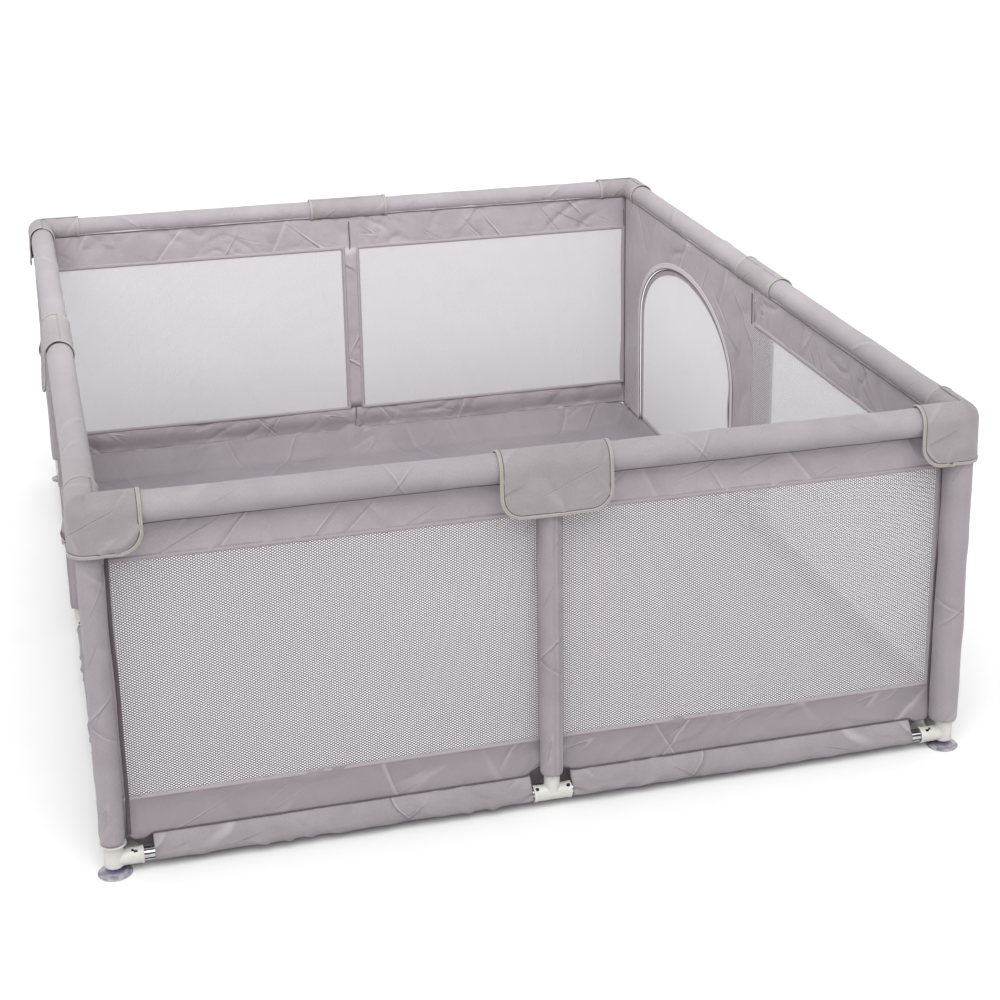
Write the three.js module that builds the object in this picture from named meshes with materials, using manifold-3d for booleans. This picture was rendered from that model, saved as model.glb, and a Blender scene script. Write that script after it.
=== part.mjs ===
// A square-cornered fabric playpen: steel tubes in plastic connectors carry padded sleeves,
// mesh walls, a cloth floor, lift-up rail covers and a zipped arch door in the right-hand wall.
// Millimetres, +Z up. The origin is on the ground under the middle of the pen; the front faces -Y.
import * as THREE from 'three';
import { mergeVertices } from 'three/addons/utils/BufferGeometryUtils.js';
import Module from 'manifold-3d';

const wasm = await Module();
wasm.setup();

// ---- driving dimensions ----
const spanX = 1450;            // corner post to corner post across the front
const spanY = 1800;            // corner post to corner post front to back
const railZ = 622;             // height of the top rail's axis

const tubeRadius = 11;         // 22 mm steel tube
const tubeWall = 1.2;
const socketWall = 2.1;        // plastic round the tube in a connector arm
const tubeFit = 0.4;           // radial gap between a tube and its socket
const endGap = 0.5;            // gap between a tube's end and the stop in its socket
const cornerArm = 47;          // corner connector, axis to arm end
const teeArm = 33;             // middle connector, axis to arm end
const cornerStop = 17;         // where a tube stops short of a corner axis
const teeStop = 6;             // where a tube stops short of a middle axis
const elbowBarrelExtra = 1.5;  // elbow's barrel is this much wider than its arms, each side
const elbowFlangeInset = 4;    // elbow's flange inside the padded post's outline
const elbowFlangeHeight = 2;
const elbowRise = 18;          // bottom tube's axis to the elbow's flange
const teeRise = 26;            // bottom tube's axis to the top of the tee
const teeBarrelLess = 1;       // tee's barrel is this much slimmer than its arms, each side
const spigotLength = 60;       // connector's plug inside the post
const headDrop = 47;           // how far a top connector comes down over its post

const railPadRadius = 28.5;    // padded top rail
const cornerPadRadius = 23.5;  // padded corner post
const midPadRadius = 17.5;     // padded middle post
const padFit = 0.8;            // padded sleeve over its tube
const railPadGap = 3;          // corner connector's arm to the rail's padding
const midRailPadGap = 2;       // middle connector's arm to the rail's padding
const bareTube = 26;           // bottom tube that shows between the elbow and its sleeve
const basePadGap = 2;          // middle connector's arm to the end of the bottom sleeve
const basePadSlack = 8;        // bottom sleeve hangs this far off its tube
const baseSeamRise = 31;       // bottom tube's axis to the seam above it
const postPadGap = 2;          // padded post above its connector
const headPadGap = 3;          // padded post below the top connector

const wallTuck = 3.5;          // how far the wall cloth's outer face lies inside the padded corner post
const wallThickness = 3;
const wallRailOverlap = 3.3;   // how deep the wall cloth is sewn into the rail's padding
const wallBaseOverlap = 7;     // how deep the wall cloth is sewn into the bottom sleeve
const wallEndGap = 1;          // gap between two walls at a corner
const wallPostOverlap = 14;    // how deep the wall cloth is sewn into the padded corner post
const postWebWidth = 18;       // web that joins a padded middle post to its wall

const floorThickness = 3;
const floorMargin = 5;         // wall cloth's outer face to the floor's edge

const doorNearGap = 119;       // middle post's axis to the door opening
const doorFarGap = 145;        // door opening to the back corner post's axis
const doorHeadGap = 92;        // top of the door opening to the rail's axis
const doorRise = 190;          // height of the arch above the straight sides
const doorOverlap = 10;
const doorThickness = 2;
const doorFit = 0.4;           // gap between the door and the wall cloth
const doorSillGap = 2;         // gap between the door and the bottom sleeve

const coverThickness = 2.5;
const coverFit = 1;            // gap between a cover and the padded rail
const midCoverLength = 197;
const cornerCoverArm = 88;     // corner axis to the end of the cover's arm
const midCoverDrop = 90;       // rail axis to the cover's lower edge
const cornerCoverDrop = 71;

const cupRadius = 28;
const cupHeight = 12.1;        // ground to the top of the cup's neck
const cupLipWidth = 5;
const cupStudRadius = 4.2;
const cupStudLength = 4.6;
const cupStudFit = 0.4;
const cupGap = 0.4;            // cup's neck below the connector

const buttonRadius = 2.5;
const buttonFit = 0.4;
const buttonProud = 1.5;       // how far a snap button stands out of its connector
const cornerButtonAt = 34;     // corner axis to its snap buttons
const teeButtonAt = 27;        // middle axis to its snap buttons
const buttonTilt = 30;         // degrees a snap button leans outwards
const clipWidth = 7;
const clipThickness = 1;
const clipRise = 4.6;          // clip strip above the tube's axis
const clipEnd = 4;             // strip past its button

const sliderWidth = 10;
const sliderHeight = 14;
const sliderThickness = 5;
const sliderSill = 9;          // seam above the bottom tube to the slider when the door is shut
const sliderEdge = 5;          // door opening's edge to the slider's middle
const lugThickness = 1.6;
const lugReach = 5;
const pullPinRadius = 1;
const pullFit = 0.4;
const pullNeckWidth = 3.4;
const pullWidth = 9;
const pullLength = 28;
const pullThickness = 1.4;

const tubeSides = 8;
const buttonSides = 6;
const padSides = 12;
const cupSides = 12;
const arcSteps = 6;            // steps in a quarter turn of cover or arch

// ---- values worked out from them ----
const tubeBore = tubeRadius - tubeWall;
const socketBore = tubeRadius + tubeFit;
const armRadius = socketBore + socketWall;
const padBore = tubeRadius + padFit;
const coreBore = tubeBore - 0.8;
const spigotRadius = tubeBore - tubeFit;
const basePadRadius = tubeRadius + basePadSlack;
const connectorBottomZ = cupHeight + cupGap;
const baseZ = connectorBottomZ + armRadius;
const elbowTopZ = baseZ + elbowRise;
const teeTopZ = baseZ + teeRise;
const basePadTopZ = baseZ + baseSeamRise;
const wallInset = cornerPadRadius - wallTuck;
const wallInner = wallInset + wallThickness;
const railTop = railZ - Math.sqrt(railPadRadius ** 2 - wallInner ** 2) + wallRailOverlap;
const doorHalfWidth = (spanY / 2 - doorNearGap - doorFarGap) / 2;
const doorMid = doorNearGap + doorHalfWidth;
const doorSpringZ = railZ - doorHeadGap - doorRise;
const coverInner = railPadRadius + coverFit;
const coverOuter = coverInner + coverThickness;
const doorInner = wallInset - doorFit;
const buttonReach = armRadius + buttonProud;
const tilt = THREE.MathUtils.degToRad(buttonTilt);
const teeButtonDir = new THREE.Vector3(0, -Math.sin(tilt), Math.cos(tilt));
const cornerButtonDir = new THREE.Vector3(-Math.sin(tilt) / Math.SQRT2, -Math.sin(tilt) / Math.SQRT2,
  Math.cos(tilt));

// ---- shape helpers ----
const xAxis = new THREE.Vector3(1, 0, 0);
const yAxis = new THREE.Vector3(0, 1, 0);
const zAxis = new THREE.Vector3(0, 0, 1);
const frames = {
  x: new THREE.Matrix4().makeBasis(yAxis, zAxis, xAxis),   // a section in (y, z), pushed along x
  y: new THREE.Matrix4().makeBasis(zAxis, xAxis, yAxis),   // a section in (z, x), pushed along y
  z: new THREE.Matrix4(),                                  // a section in (x, y), pushed along z
};

function solidFrom(geometry) {
  geometry.deleteAttribute('normal');
  geometry.deleteAttribute('uv');
  const merged = mergeVertices(geometry, 1e-4);
  return new wasm.Manifold(new wasm.Mesh({
    numProp: 3,
    vertProperties: new Float32Array(merged.attributes.position.array),
    triVerts: new Uint32Array(merged.index.array),
  }));
}

function meshFrom(solid, name, material) {
  const { vertProperties, triVerts } = solid.getMesh();
  const geometry = new THREE.BufferGeometry();
  geometry.setAttribute('position', new THREE.BufferAttribute(vertProperties, 3));
  geometry.setIndex(new THREE.BufferAttribute(triVerts, 1));
  geometry.computeVertexNormals();
  const mesh = new THREE.Mesh(geometry, material.clone());
  mesh.name = name;
  return mesh;
}

const join = solids => solids.reduce((whole, piece) => whole.add(piece));
const cut = (solid, tools) => tools.reduce((rest, tool) => rest.subtract(tool), solid);

function circlePoints(radius, sides, centre = [0, 0]) {
  return Array.from({ length: sides }, (_, i) => {
    const angle = (i / sides) * 2 * Math.PI;
    return new THREE.Vector2(centre[0] + radius * Math.cos(angle), centre[1] + radius * Math.sin(angle));
  });
}

function prism(outline, axis, from, to, hole = null) {
  const shape = new THREE.Shape(outline);
  if (hole) shape.holes.push(new THREE.Path(hole));
  const geometry = new THREE.ExtrudeGeometry(shape, { depth: to - from, bevelEnabled: false, steps: 1 });
  geometry.translate(0, 0, from);
  geometry.applyMatrix4(frames[axis]);
  return solidFrom(geometry);
}

const rod = (radius, axis, from, to, centre = [0, 0], sides = tubeSides) =>
  prism(circlePoints(radius, sides, centre), axis, from, to);

const pipe = (outer, inner, axis, from, to, centre = [0, 0], sides = tubeSides) =>
  prism(circlePoints(outer, sides, centre), axis, from, to, circlePoints(inner, sides, centre));

function block(x0, x1, y0, y1, z0, z1) {
  const geometry = new THREE.BoxGeometry(x1 - x0, y1 - y0, z1 - z0);
  geometry.translate((x0 + x1) / 2, (y0 + y1) / 2, (z0 + z1) / 2);
  return solidFrom(geometry);
}

// A round bar that starts on origin and runs along dir between two distances.
function slantedRod(radius, origin, dir, from, to) {
  const geometry = new THREE.CylinderGeometry(radius, radius, to - from, buttonSides);
  geometry.translate(0, (from + to) / 2, 0);
  geometry.applyQuaternion(new THREE.Quaternion().setFromUnitVectors(yAxis, dir));
  geometry.translate(origin.x, origin.y, origin.z);
  return solidFrom(geometry);
}

// ---- materials ----
const finish = (color, roughness, metalness = 0) => new THREE.MeshStandardMaterial({ color, roughness, metalness });
const finishes = {
  wallCloth: finish(0xa9a3a8, 0.85),
  coverCloth: finish(0xaca6a6, 0.85),
  floorCloth: finish(0x9b949b, 0.85),
  doorMesh: finish(0xd6d2da, 0.9),
  steel: finish(0xc8c8ca, 0.2, 1),
  plastic: finish(0xe3e2de, 0.45),
  cup: finish(0xa8a4b4, 0.3),
  clip: finish(0x8c8c90, 0.35, 1),
  zip: finish(0xb4b0b4, 0.4),
};

// ---- sides and corners: each is built once in its own frame and turned into place ----
// A side's frame has x along the wall and y pointing into the pen. A corner's frame has its
// arms along +x and +y. Turn counts quarter turns about Z.
const sides = [
  { name: 'front', span: spanX, at: [0, -spanY / 2], turn: 0 },
  { name: 'right', span: spanY, at: [spanX / 2, 0], turn: 1 },
  { name: 'back', span: spanX, at: [0, spanY / 2], turn: 2 },
  { name: 'left', span: spanY, at: [-spanX / 2, 0], turn: 3 },
];
const corners = [
  { name: 'front_left', at: [-spanX / 2, -spanY / 2], turn: 0 },
  { name: 'front_right', at: [spanX / 2, -spanY / 2], turn: 1 },
  { name: 'back_right', at: [spanX / 2, spanY / 2], turn: 2 },
  { name: 'back_left', at: [-spanX / 2, spanY / 2], turn: 3 },
];

// ---- tubes ----
const railTube = (from, to) => pipe(tubeRadius, tubeBore, 'x', from, to, [0, railZ]);

function buttonHole(x, dir) {
  const origin = new THREE.Vector3(x, 0, baseZ);
  return slantedRod(buttonRadius + buttonFit, origin, dir, clipRise + clipThickness, buttonReach + 2);
}

// side is -1 for the tube on the wall's left half and 1 for its right half
function baseTube(span, side) {
  const near = side * (teeStop + endGap);
  const far = side * (span / 2 - cornerStop - endGap);
  const tube = pipe(tubeRadius, tubeBore, 'x', Math.min(near, far), Math.max(near, far), [0, baseZ]);
  const cornerDir = cornerButtonDir.clone();
  cornerDir.x *= -side;
  return cut(tube, [buttonHole(side * teeButtonAt, teeButtonDir),
    buttonHole(side * (span / 2 - cornerButtonAt), cornerDir)]);
}

// ---- posts, each with its moulded top connector ----
function postWithHead(bottomZ, stop, arms) {
  const shaft = rod(tubeRadius, 'z', bottomZ, railZ - headDrop + 1);
  const head = rod(armRadius, 'z', railZ - headDrop, railZ);
  const armRods = arms.map(([axis, from, to]) => rod(armRadius, axis, from, to,
    axis === 'x' ? [0, railZ] : [railZ, 0]));
  const sockets = arms.flatMap(([axis, from, to]) => {
    const centre = axis === 'x' ? [0, railZ] : [railZ, 0];
    const bores = [];
    if (to > stop) bores.push(rod(socketBore, axis, stop, to + 1, centre));
    if (from < -stop) bores.push(rod(socketBore, axis, from - 1, -stop, centre));
    return bores;
  });
  const shaftBore = rod(tubeBore, 'z', bottomZ - 1, railZ - headDrop);
  return cut(join([shaft, head, ...armRods]), [...sockets, shaftBore]);
}

const cornerPost = () => postWithHead(elbowTopZ + tubeFit, cornerStop,
  [['x', 0, cornerArm], ['y', 0, cornerArm]]);
const midPost = () => postWithHead(teeTopZ + tubeFit, teeStop, [['x', -teeArm, teeArm]]);

// ---- bottom connectors ----
const spigot = topZ => rod(spigotRadius, 'z', topZ - 1, topZ + spigotLength);

function elbow() {
  const body = join([
    rod(armRadius + elbowBarrelExtra, 'z', connectorBottomZ, elbowTopZ),
    rod(cornerPadRadius - elbowFlangeInset, 'z', elbowTopZ - elbowFlangeHeight, elbowTopZ),
    rod(armRadius, 'x', 0, cornerArm, [0, baseZ]),
    rod(armRadius, 'y', 0, cornerArm, [baseZ, 0]),
    spigot(elbowTopZ),
  ]);
  const buttonOnY = new THREE.Vector3(0, cornerButtonAt, baseZ);
  return cut(body, [
    rod(socketBore, 'x', cornerStop, cornerArm + 1, [0, baseZ]),
    rod(socketBore, 'y', cornerStop, cornerArm + 1, [baseZ, 0]),
    rod(coreBore, 'x', -coreBore, cornerArm, [0, baseZ]),
    rod(coreBore, 'y', -coreBore, cornerArm, [baseZ, 0]),
    rod(cupStudRadius + cupStudFit, 'z', connectorBottomZ - 1, baseZ - coreBore / 2),
    buttonHole(cornerButtonAt, cornerButtonDir),
    slantedRod(buttonRadius + buttonFit, buttonOnY, cornerButtonDir, clipRise + clipThickness, buttonReach + 2),
  ]);
}

function tee() {
  const body = join([
    rod(armRadius - teeBarrelLess, 'z', baseZ, teeTopZ),
    rod(armRadius, 'x', -teeArm, teeArm, [0, baseZ]),
    spigot(teeTopZ),
  ]);
  return cut(body, [
    rod(socketBore, 'x', teeStop, teeArm + 1, [0, baseZ]),
    rod(socketBore, 'x', -teeArm - 1, -teeStop, [0, baseZ]),
    rod(coreBore, 'x', -teeArm, teeArm, [0, baseZ]),
    buttonHole(teeButtonAt, teeButtonDir),
    buttonHole(-teeButtonAt, teeButtonDir),
  ]);
}

// ---- spring clips with their snap buttons ----
const button = (x, y, dir) => slantedRod(buttonRadius, new THREE.Vector3(x, y, baseZ), dir, clipRise + 0.3, buttonReach);

function teeClip() {
  const reach = teeButtonAt + clipEnd;
  const strip = block(-reach, reach, -clipWidth / 2 - clipRise * Math.tan(tilt), clipWidth / 2 - clipRise * Math.tan(tilt),
    baseZ + clipRise - clipThickness, baseZ + clipRise);
  return join([strip, button(teeButtonAt, 0, teeButtonDir), button(-teeButtonAt, 0, teeButtonDir)]);
}

function cornerClip() {
  const lean = clipRise * Math.tan(tilt) / Math.SQRT2;
  const near = -clipWidth / 2 - lean;
  const far = clipWidth / 2 - lean;
  const reach = cornerButtonAt + clipEnd - lean;
  const z0 = baseZ + clipRise - clipThickness;
  const z1 = baseZ + clipRise;
  return join([
    block(near, reach, near, far, z0, z1),
    block(near, far, near, reach, z0, z1),
    button(cornerButtonAt, 0, cornerButtonDir),
    button(0, cornerButtonAt, cornerButtonDir),
  ]);
}

// ---- suction cups ----
function suctionCup() {
  const profile = [[0, 2.5], [cupRadius - cupLipWidth - 4, 1.4], [cupRadius - cupLipWidth, 0], [cupRadius, 0],
    [cupRadius, 1.2], [19, 3.8], [9, 7], [7, cupHeight - 0.6], [cupStudRadius, cupHeight],
    [cupStudRadius, cupHeight + cupStudLength], [0, cupHeight + cupStudLength]];
  const geometry = new THREE.LatheGeometry(profile.map(([r, z]) => new THREE.Vector2(r, z)), cupSides);
  geometry.rotateX(Math.PI / 2);
  return solidFrom(geometry);
}

// ---- walls ----
// The bottom sleeve hangs round its tube and closes in a seam at the foot of the wall.
function baseSleeveOutline() {
  const points = [];
  for (let i = 0; i <= tubeSides; i += 1) {
    const angle = THREE.MathUtils.degToRad(120 + (i / tubeSides) * 230);
    points.push(new THREE.Vector2(basePadRadius * Math.cos(angle), baseZ + basePadRadius * Math.sin(angle)));
  }
  points.push(new THREE.Vector2(wallInner, baseZ + basePadRadius));
  points.push(new THREE.Vector2(wallInner, basePadTopZ));
  points.push(new THREE.Vector2(wallInset - wallThickness, basePadTopZ));
  return points;
}

function doorOutline(grow, bottomZ) {
  const halfWidth = doorHalfWidth + grow;
  const rise = doorRise + grow;
  const points = [new THREE.Vector2(doorMid - halfWidth, bottomZ), new THREE.Vector2(doorMid + halfWidth, bottomZ)];
  for (let i = 0; i <= 2 * arcSteps; i += 1) {
    const angle = (i / (2 * arcSteps)) * Math.PI;
    points.push(new THREE.Vector2(doorMid + halfWidth * Math.cos(angle), doorSpringZ + rise * Math.sin(angle)));
  }
  return points;
}

// The outline is drawn in (x, z) and pushed through the wall from y = from to y = to.
function doorPrism(grow, bottomZ, from, to) {
  const outline = doorOutline(grow, bottomZ).map(point => new THREE.Vector2(point.y, point.x));
  return prism(outline.reverse(), 'y', from, to);
}

function wall({ name, span }) {
  const half = span / 2;
  const railNear = teeArm + midRailPadGap;
  const railFar = half - cornerArm - railPadGap;
  const baseNear = teeArm + basePadGap;
  const baseFar = half - cornerArm - bareTube;
  const basePad = circlePoints(padBore, tubeSides, [0, baseZ]);
  const cornerBottomZ = elbowTopZ + postPadGap;
  const midBottomZ = teeTopZ + 1;
  const padTopZ = railZ - headDrop - headPadGap;
  const clothEnd = half - wallInner - wallEndGap;
  let cloth = block(-clothEnd, clothEnd, wallInset, wallInner, basePadTopZ - wallBaseOverlap, railTop);
  if (name === 'right') {
    cloth = cloth.subtract(doorPrism(0, basePadTopZ - wallBaseOverlap - 1, wallInset - 1, wallInner + 1));
  }
  const web = block(-postWebWidth / 2, postWebWidth / 2, padBore + 1.5, wallInset + 1, midBottomZ, padTopZ);
  const postTab = block(clothEnd - 1, half - cornerPadRadius + wallPostOverlap, wallInset, wallInner,
    basePadTopZ, padTopZ);
  return join([
    cloth,
    web,
    postTab,
    pipe(railPadRadius, padBore, 'x', -railFar, -railNear, [0, railZ], padSides),
    pipe(railPadRadius, padBore, 'x', railNear, railFar, [0, railZ], padSides),
    prism(baseSleeveOutline(), 'x', -baseFar, -baseNear, basePad),
    prism(baseSleeveOutline(), 'x', baseNear, baseFar, basePad),
    pipe(midPadRadius, padBore, 'z', midBottomZ, padTopZ),
    pipe(cornerPadRadius, padBore, 'z', cornerBottomZ, padTopZ, [half, 0], padSides),
  ]);
}

const doorPanel = () => doorPrism(doorOverlap, basePadTopZ + doorSillGap, doorInner - doorThickness, doorInner);

// ---- covers: a quarter round over the outer half of the padded rail, and a flap below it ----
function coverOutline(drop) {
  const arc = radius => Array.from({ length: arcSteps + 1 }, (_, i) => {
    const angle = Math.PI / 2 + (i / arcSteps) * (Math.PI / 2);
    return new THREE.Vector2(radius * Math.cos(angle), railZ + radius * Math.sin(angle));
  });
  return [...arc(coverOuter), new THREE.Vector2(-coverOuter, railZ - drop),
    new THREE.Vector2(-coverInner, railZ - drop), ...arc(coverInner).reverse()];
}

const midCover = () => prism(coverOutline(midCoverDrop), 'x', -midCoverLength / 2, midCoverLength / 2);

// Two arms are cut at the corner's diagonal and joined there.
function cornerCover() {
  const outline = coverOutline(cornerCoverDrop);
  const armX = prism(outline, 'x', -coverOuter - 1, cornerCoverArm);
  const swapped = outline.map(point => new THREE.Vector2(point.y, point.x)).reverse();
  const armY = prism(swapped, 'y', -coverOuter - 1, cornerCoverArm);
  const low = railZ - cornerCoverDrop - 1;
  const high = railZ + coverOuter + 1;
  const reach = cornerCoverArm + 10;
  const belowDiagonal = [[-reach, -reach], [reach, -reach], [reach, reach]];
  const aboveDiagonal = [[-reach, -reach], [reach, reach], [-reach, reach]];
  const keep = points => prism(points.map(([x, y]) => new THREE.Vector2(x, y)), 'z', low, high);
  return armX.intersect(keep(belowDiagonal)).add(armY.intersect(keep(aboveDiagonal)));
}

// ---- floor ----
function floorSheet() {
  const inset = wallInset + floorMargin;
  return block(-spanX / 2 + inset, spanX / 2 - inset, -spanY / 2 + inset, spanY / 2 - inset, 0, floorThickness);
}

// ---- zip slider and pull, on the inner face of the right-hand wall ----
const sliderX = doorNearGap - sliderEdge;
const sliderZ = basePadTopZ + sliderSill;
const sliderY = wallInner + doorFit;
const pinY = sliderY + sliderThickness + lugReach / 2;
const pinZ = sliderZ + sliderHeight / 2;

function zipSlider() {
  const body = block(sliderX - sliderWidth / 2, sliderX + sliderWidth / 2, sliderY, sliderY + sliderThickness,
    sliderZ, sliderZ + sliderHeight);
  const inner = pullNeckWidth / 2 + pullFit;
  const lugY = sliderY + sliderThickness;
  const lugs = [-1, 1].map(side => {
    const from = sliderX + side * inner;
    const to = from + side * lugThickness;
    return block(Math.min(from, to), Math.max(from, to), lugY - 1, lugY + lugReach, pinZ - 3, pinZ + 3);
  });
  const pinHole = rod(pullPinRadius + pullFit, 'x', sliderX - sliderWidth, sliderX + sliderWidth, [pinY, pinZ]);
  return cut(join([body, ...lugs]), [pinHole]);
}

function zipPull() {
  const pinHalf = pullNeckWidth / 2 + pullFit + lugThickness;
  const neckZ = sliderZ - 3;
  const y0 = pinY - pullThickness / 2;
  const y1 = pinY + pullThickness / 2;
  return join([
    rod(pullPinRadius, 'x', sliderX - pinHalf, sliderX + pinHalf, [pinY, pinZ]),
    block(sliderX - pullNeckWidth / 2, sliderX + pullNeckWidth / 2, y0, y1, neckZ - 1, pinZ),
    block(sliderX - pullWidth / 2, sliderX + pullWidth / 2, y0, y1, pinZ - pullLength, neckZ),
  ]);
}

// ---- assembly ----
const playpen = new THREE.Group();

function placedGroup({ at, turn }) {
  const group = new THREE.Group();
  group.position.set(at[0], at[1], 0);
  group.rotation.z = turn * Math.PI / 2;
  playpen.add(group);
  return group;
}

for (const side of sides) {
  const group = placedGroup(side);
  const half = side.span / 2;
  const railEnd = half - cornerStop - endGap;
  const railStart = teeStop + endGap;
  group.add(
    meshFrom(wall(side), `${side.name}_wall`, finishes.wallCloth),
    meshFrom(midPost(), `${side.name}_mid_post`, finishes.steel),
    meshFrom(tee(), `${side.name}_tee`, finishes.plastic),
    meshFrom(teeClip(), `${side.name}_button_clip`, finishes.clip),
    meshFrom(midCover(), `${side.name}_rail_cover`, finishes.coverCloth),
    meshFrom(railTube(-railEnd, -railStart), `${side.name}_rail_tube_a`, finishes.steel),
    meshFrom(railTube(railStart, railEnd), `${side.name}_rail_tube_b`, finishes.steel),
    meshFrom(baseTube(side.span, -1), `${side.name}_base_tube_a`, finishes.steel),
    meshFrom(baseTube(side.span, 1), `${side.name}_base_tube_b`, finishes.steel),
  );
  if (side.name === 'right') {
    group.add(
      meshFrom(doorPanel(), 'door_panel', finishes.doorMesh),
      meshFrom(zipSlider(), 'zip_slider', finishes.zip),
      meshFrom(zipPull(), 'zip_pull', finishes.zip),
    );
  }
}

for (const corner of corners) {
  placedGroup(corner).add(
    meshFrom(cornerPost(), `${corner.name}_post`, finishes.steel),
    meshFrom(elbow(), `${corner.name}_elbow`, finishes.plastic),
    meshFrom(cornerClip(), `${corner.name}_button_clip`, finishes.clip),
    meshFrom(suctionCup(), `${corner.name}_suction_cup`, finishes.cup),
    meshFrom(cornerCover(), `${corner.name}_cover`, finishes.coverCloth),
  );
}

playpen.add(meshFrom(floorSheet(), 'floor_sheet', finishes.floorCloth));

export default playpen;
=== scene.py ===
import math
import bpy
import numpy as np
from mathutils import Matrix, Vector


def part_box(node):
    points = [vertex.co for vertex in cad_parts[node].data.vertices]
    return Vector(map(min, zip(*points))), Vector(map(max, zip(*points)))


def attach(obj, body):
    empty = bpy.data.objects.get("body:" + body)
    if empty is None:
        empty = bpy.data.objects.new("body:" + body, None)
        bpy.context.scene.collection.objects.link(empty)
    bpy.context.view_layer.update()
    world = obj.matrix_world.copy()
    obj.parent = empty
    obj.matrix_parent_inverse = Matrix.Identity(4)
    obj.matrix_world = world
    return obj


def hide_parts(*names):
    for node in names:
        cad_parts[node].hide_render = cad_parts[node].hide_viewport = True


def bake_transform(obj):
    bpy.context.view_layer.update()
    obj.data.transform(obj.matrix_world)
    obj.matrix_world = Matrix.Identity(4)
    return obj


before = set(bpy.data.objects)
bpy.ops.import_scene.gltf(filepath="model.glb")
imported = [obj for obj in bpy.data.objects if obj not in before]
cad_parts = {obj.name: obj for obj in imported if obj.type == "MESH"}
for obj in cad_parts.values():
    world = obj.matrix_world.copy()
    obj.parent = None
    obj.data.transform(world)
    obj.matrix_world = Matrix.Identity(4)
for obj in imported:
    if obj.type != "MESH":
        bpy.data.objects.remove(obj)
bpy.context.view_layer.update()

# the pen: metres, the front faces -Y
pen = {
    "halfX": 0.725,        # corner post axes
    "halfY": 0.900,
    "railZ": 0.622,        # top rail's axis
    "baseZ": 0.026,        # bottom tube's axis
    "wallIn": 0.0215,      # wall cloth, inward from the post axes
    "wallJoin": 0.0166,    # and drawn to the corner post's padding here, at the cloth's ends
    "seamIn": 0.0095,      # seam above the bottom sleeve
    "seamZ": 0.0565,
}
sides = {
    "front": (0, pen["halfY"], pen["halfX"]),
    "right": (1, pen["halfX"], pen["halfY"]),
    "back": (2, pen["halfY"], pen["halfX"]),
    "left": (3, pen["halfX"], pen["halfY"]),
}
corners = {
    "front_left": (0, -pen["halfX"], -pen["halfY"]),
    "front_right": (1, pen["halfX"], -pen["halfY"]),
    "back_right": (2, pen["halfX"], pen["halfY"]),
    "back_left": (3, -pen["halfX"], pen["halfY"]),
}
turns = [(1, 0), (0, 1), (-1, 0), (0, -1)]


def turnedSpot(turn, px, py, x, y, z):
    # quarter turns, then a step to the place
    c, s = turns[turn]
    x, y, z = np.broadcast_arrays(*(np.asarray(value, float) for value in (x, y, z)))
    return np.stack([px + c * x - s * y, py + s * x + c * y, z], -1)


def onSide(side, x, y, z):
    # x runs along the rail, y inward from the post axes, z up
    turn, off, _ = sides[side]
    return turnedSpot(turn, 0, 0, x, np.asarray(y, float) - off, z)


def wayOn(side, x, y, z):
    # a direction in the side's own axes
    return onSide(side, x, y, z) - onSide(side, 0, 0, 0)


def onCorner(corner, x, y, z):
    # x and y run inward along the corner's two rails
    return turnedSpot(*corners[corner], x, y, z)


def whole(i):
    return np.rint(i).astype(int)


def unit(ways):
    return ways / np.maximum(np.linalg.norm(ways, axis=1), 1e-9)[:, None]


def gone(*pieces):
    for piece in pieces:
        bpy.data.objects.remove(piece)


# small number helpers
def smooth(a, b, x):
    t = np.clip((np.asarray(x, float) - a) / (b - a), 0, 1)
    return t * t * (3 - 2 * t)


def ripple(p, q, seed, size=0.1, count=9):
    # soft unevenness from -1 to 1 over two coordinates in metres
    rng = np.random.default_rng(seed)
    total = 0
    for _ in range(count):
        angle, phase = rng.uniform(0, 2 * math.pi, 2)
        wave = 2 * math.pi / (size * rng.uniform(0.6, 1.9))
        total = total + np.sin((p * math.cos(angle) + q * math.sin(angle)) * wave + phase)
    return total / math.sqrt(count * 2)


def folds(p, q, spacing, angle, seed, sharp=3.0, warp=0.5):
    # ridges from 0 to 1 that run at an angle and come and go
    c, s = math.cos(angle), math.sin(angle)
    across = (p * c + q * s) / spacing + warp * ripple(p, q, seed, spacing * 2.6)
    ridge = (0.5 + 0.5 * np.cos(2 * math.pi * across)) ** sharp
    return ridge * smooth(-0.35, 0.75, ripple(p, q, seed + 7, spacing * 3.1))


def spaced(a, b, step):
    return np.linspace(a, b, max(2, int(round(abs(b - a) / step)) + 1))


# mesh helpers
def mode(name):
    bpy.ops.object.mode_set(mode=name)


def named(piece, name):
    piece.name = name
    piece.data.name = name
    return piece


def clearSelection():
    if bpy.context.object and bpy.context.object.mode != "OBJECT":
        mode("OBJECT")
    bpy.ops.object.select_all(action="DESELECT")


def pick(*pieces):
    clearSelection()
    for piece in pieces:
        piece.select_set(True)
    bpy.context.view_layer.objects.active = pieces[0]
    return pieces[0]


def settle(piece, name):
    # the piece's place goes into its mesh
    pick(piece)
    bpy.ops.object.transform_apply(location=True, rotation=True, scale=True)
    return named(piece, name)


def joined(pieces, name):
    pick(*pieces)
    if len(pieces) > 1:
        bpy.ops.object.join()
    return named(bpy.context.object, name)


def applied(piece, kind, **values):
    pick(piece)
    modifier = piece.modifiers.new(kind.title(), kind)
    for key, value in values.items():
        setattr(modifier, key, value)
    bpy.ops.object.modifier_apply(modifier=modifier.name)
    return piece


def smoothed(piece, degrees=None):
    pick(piece)
    if degrees is None:
        bpy.ops.object.shade_smooth()
    else:
        bpy.ops.object.shade_smooth_by_angle(angle=math.radians(degrees))
    return piece


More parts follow.
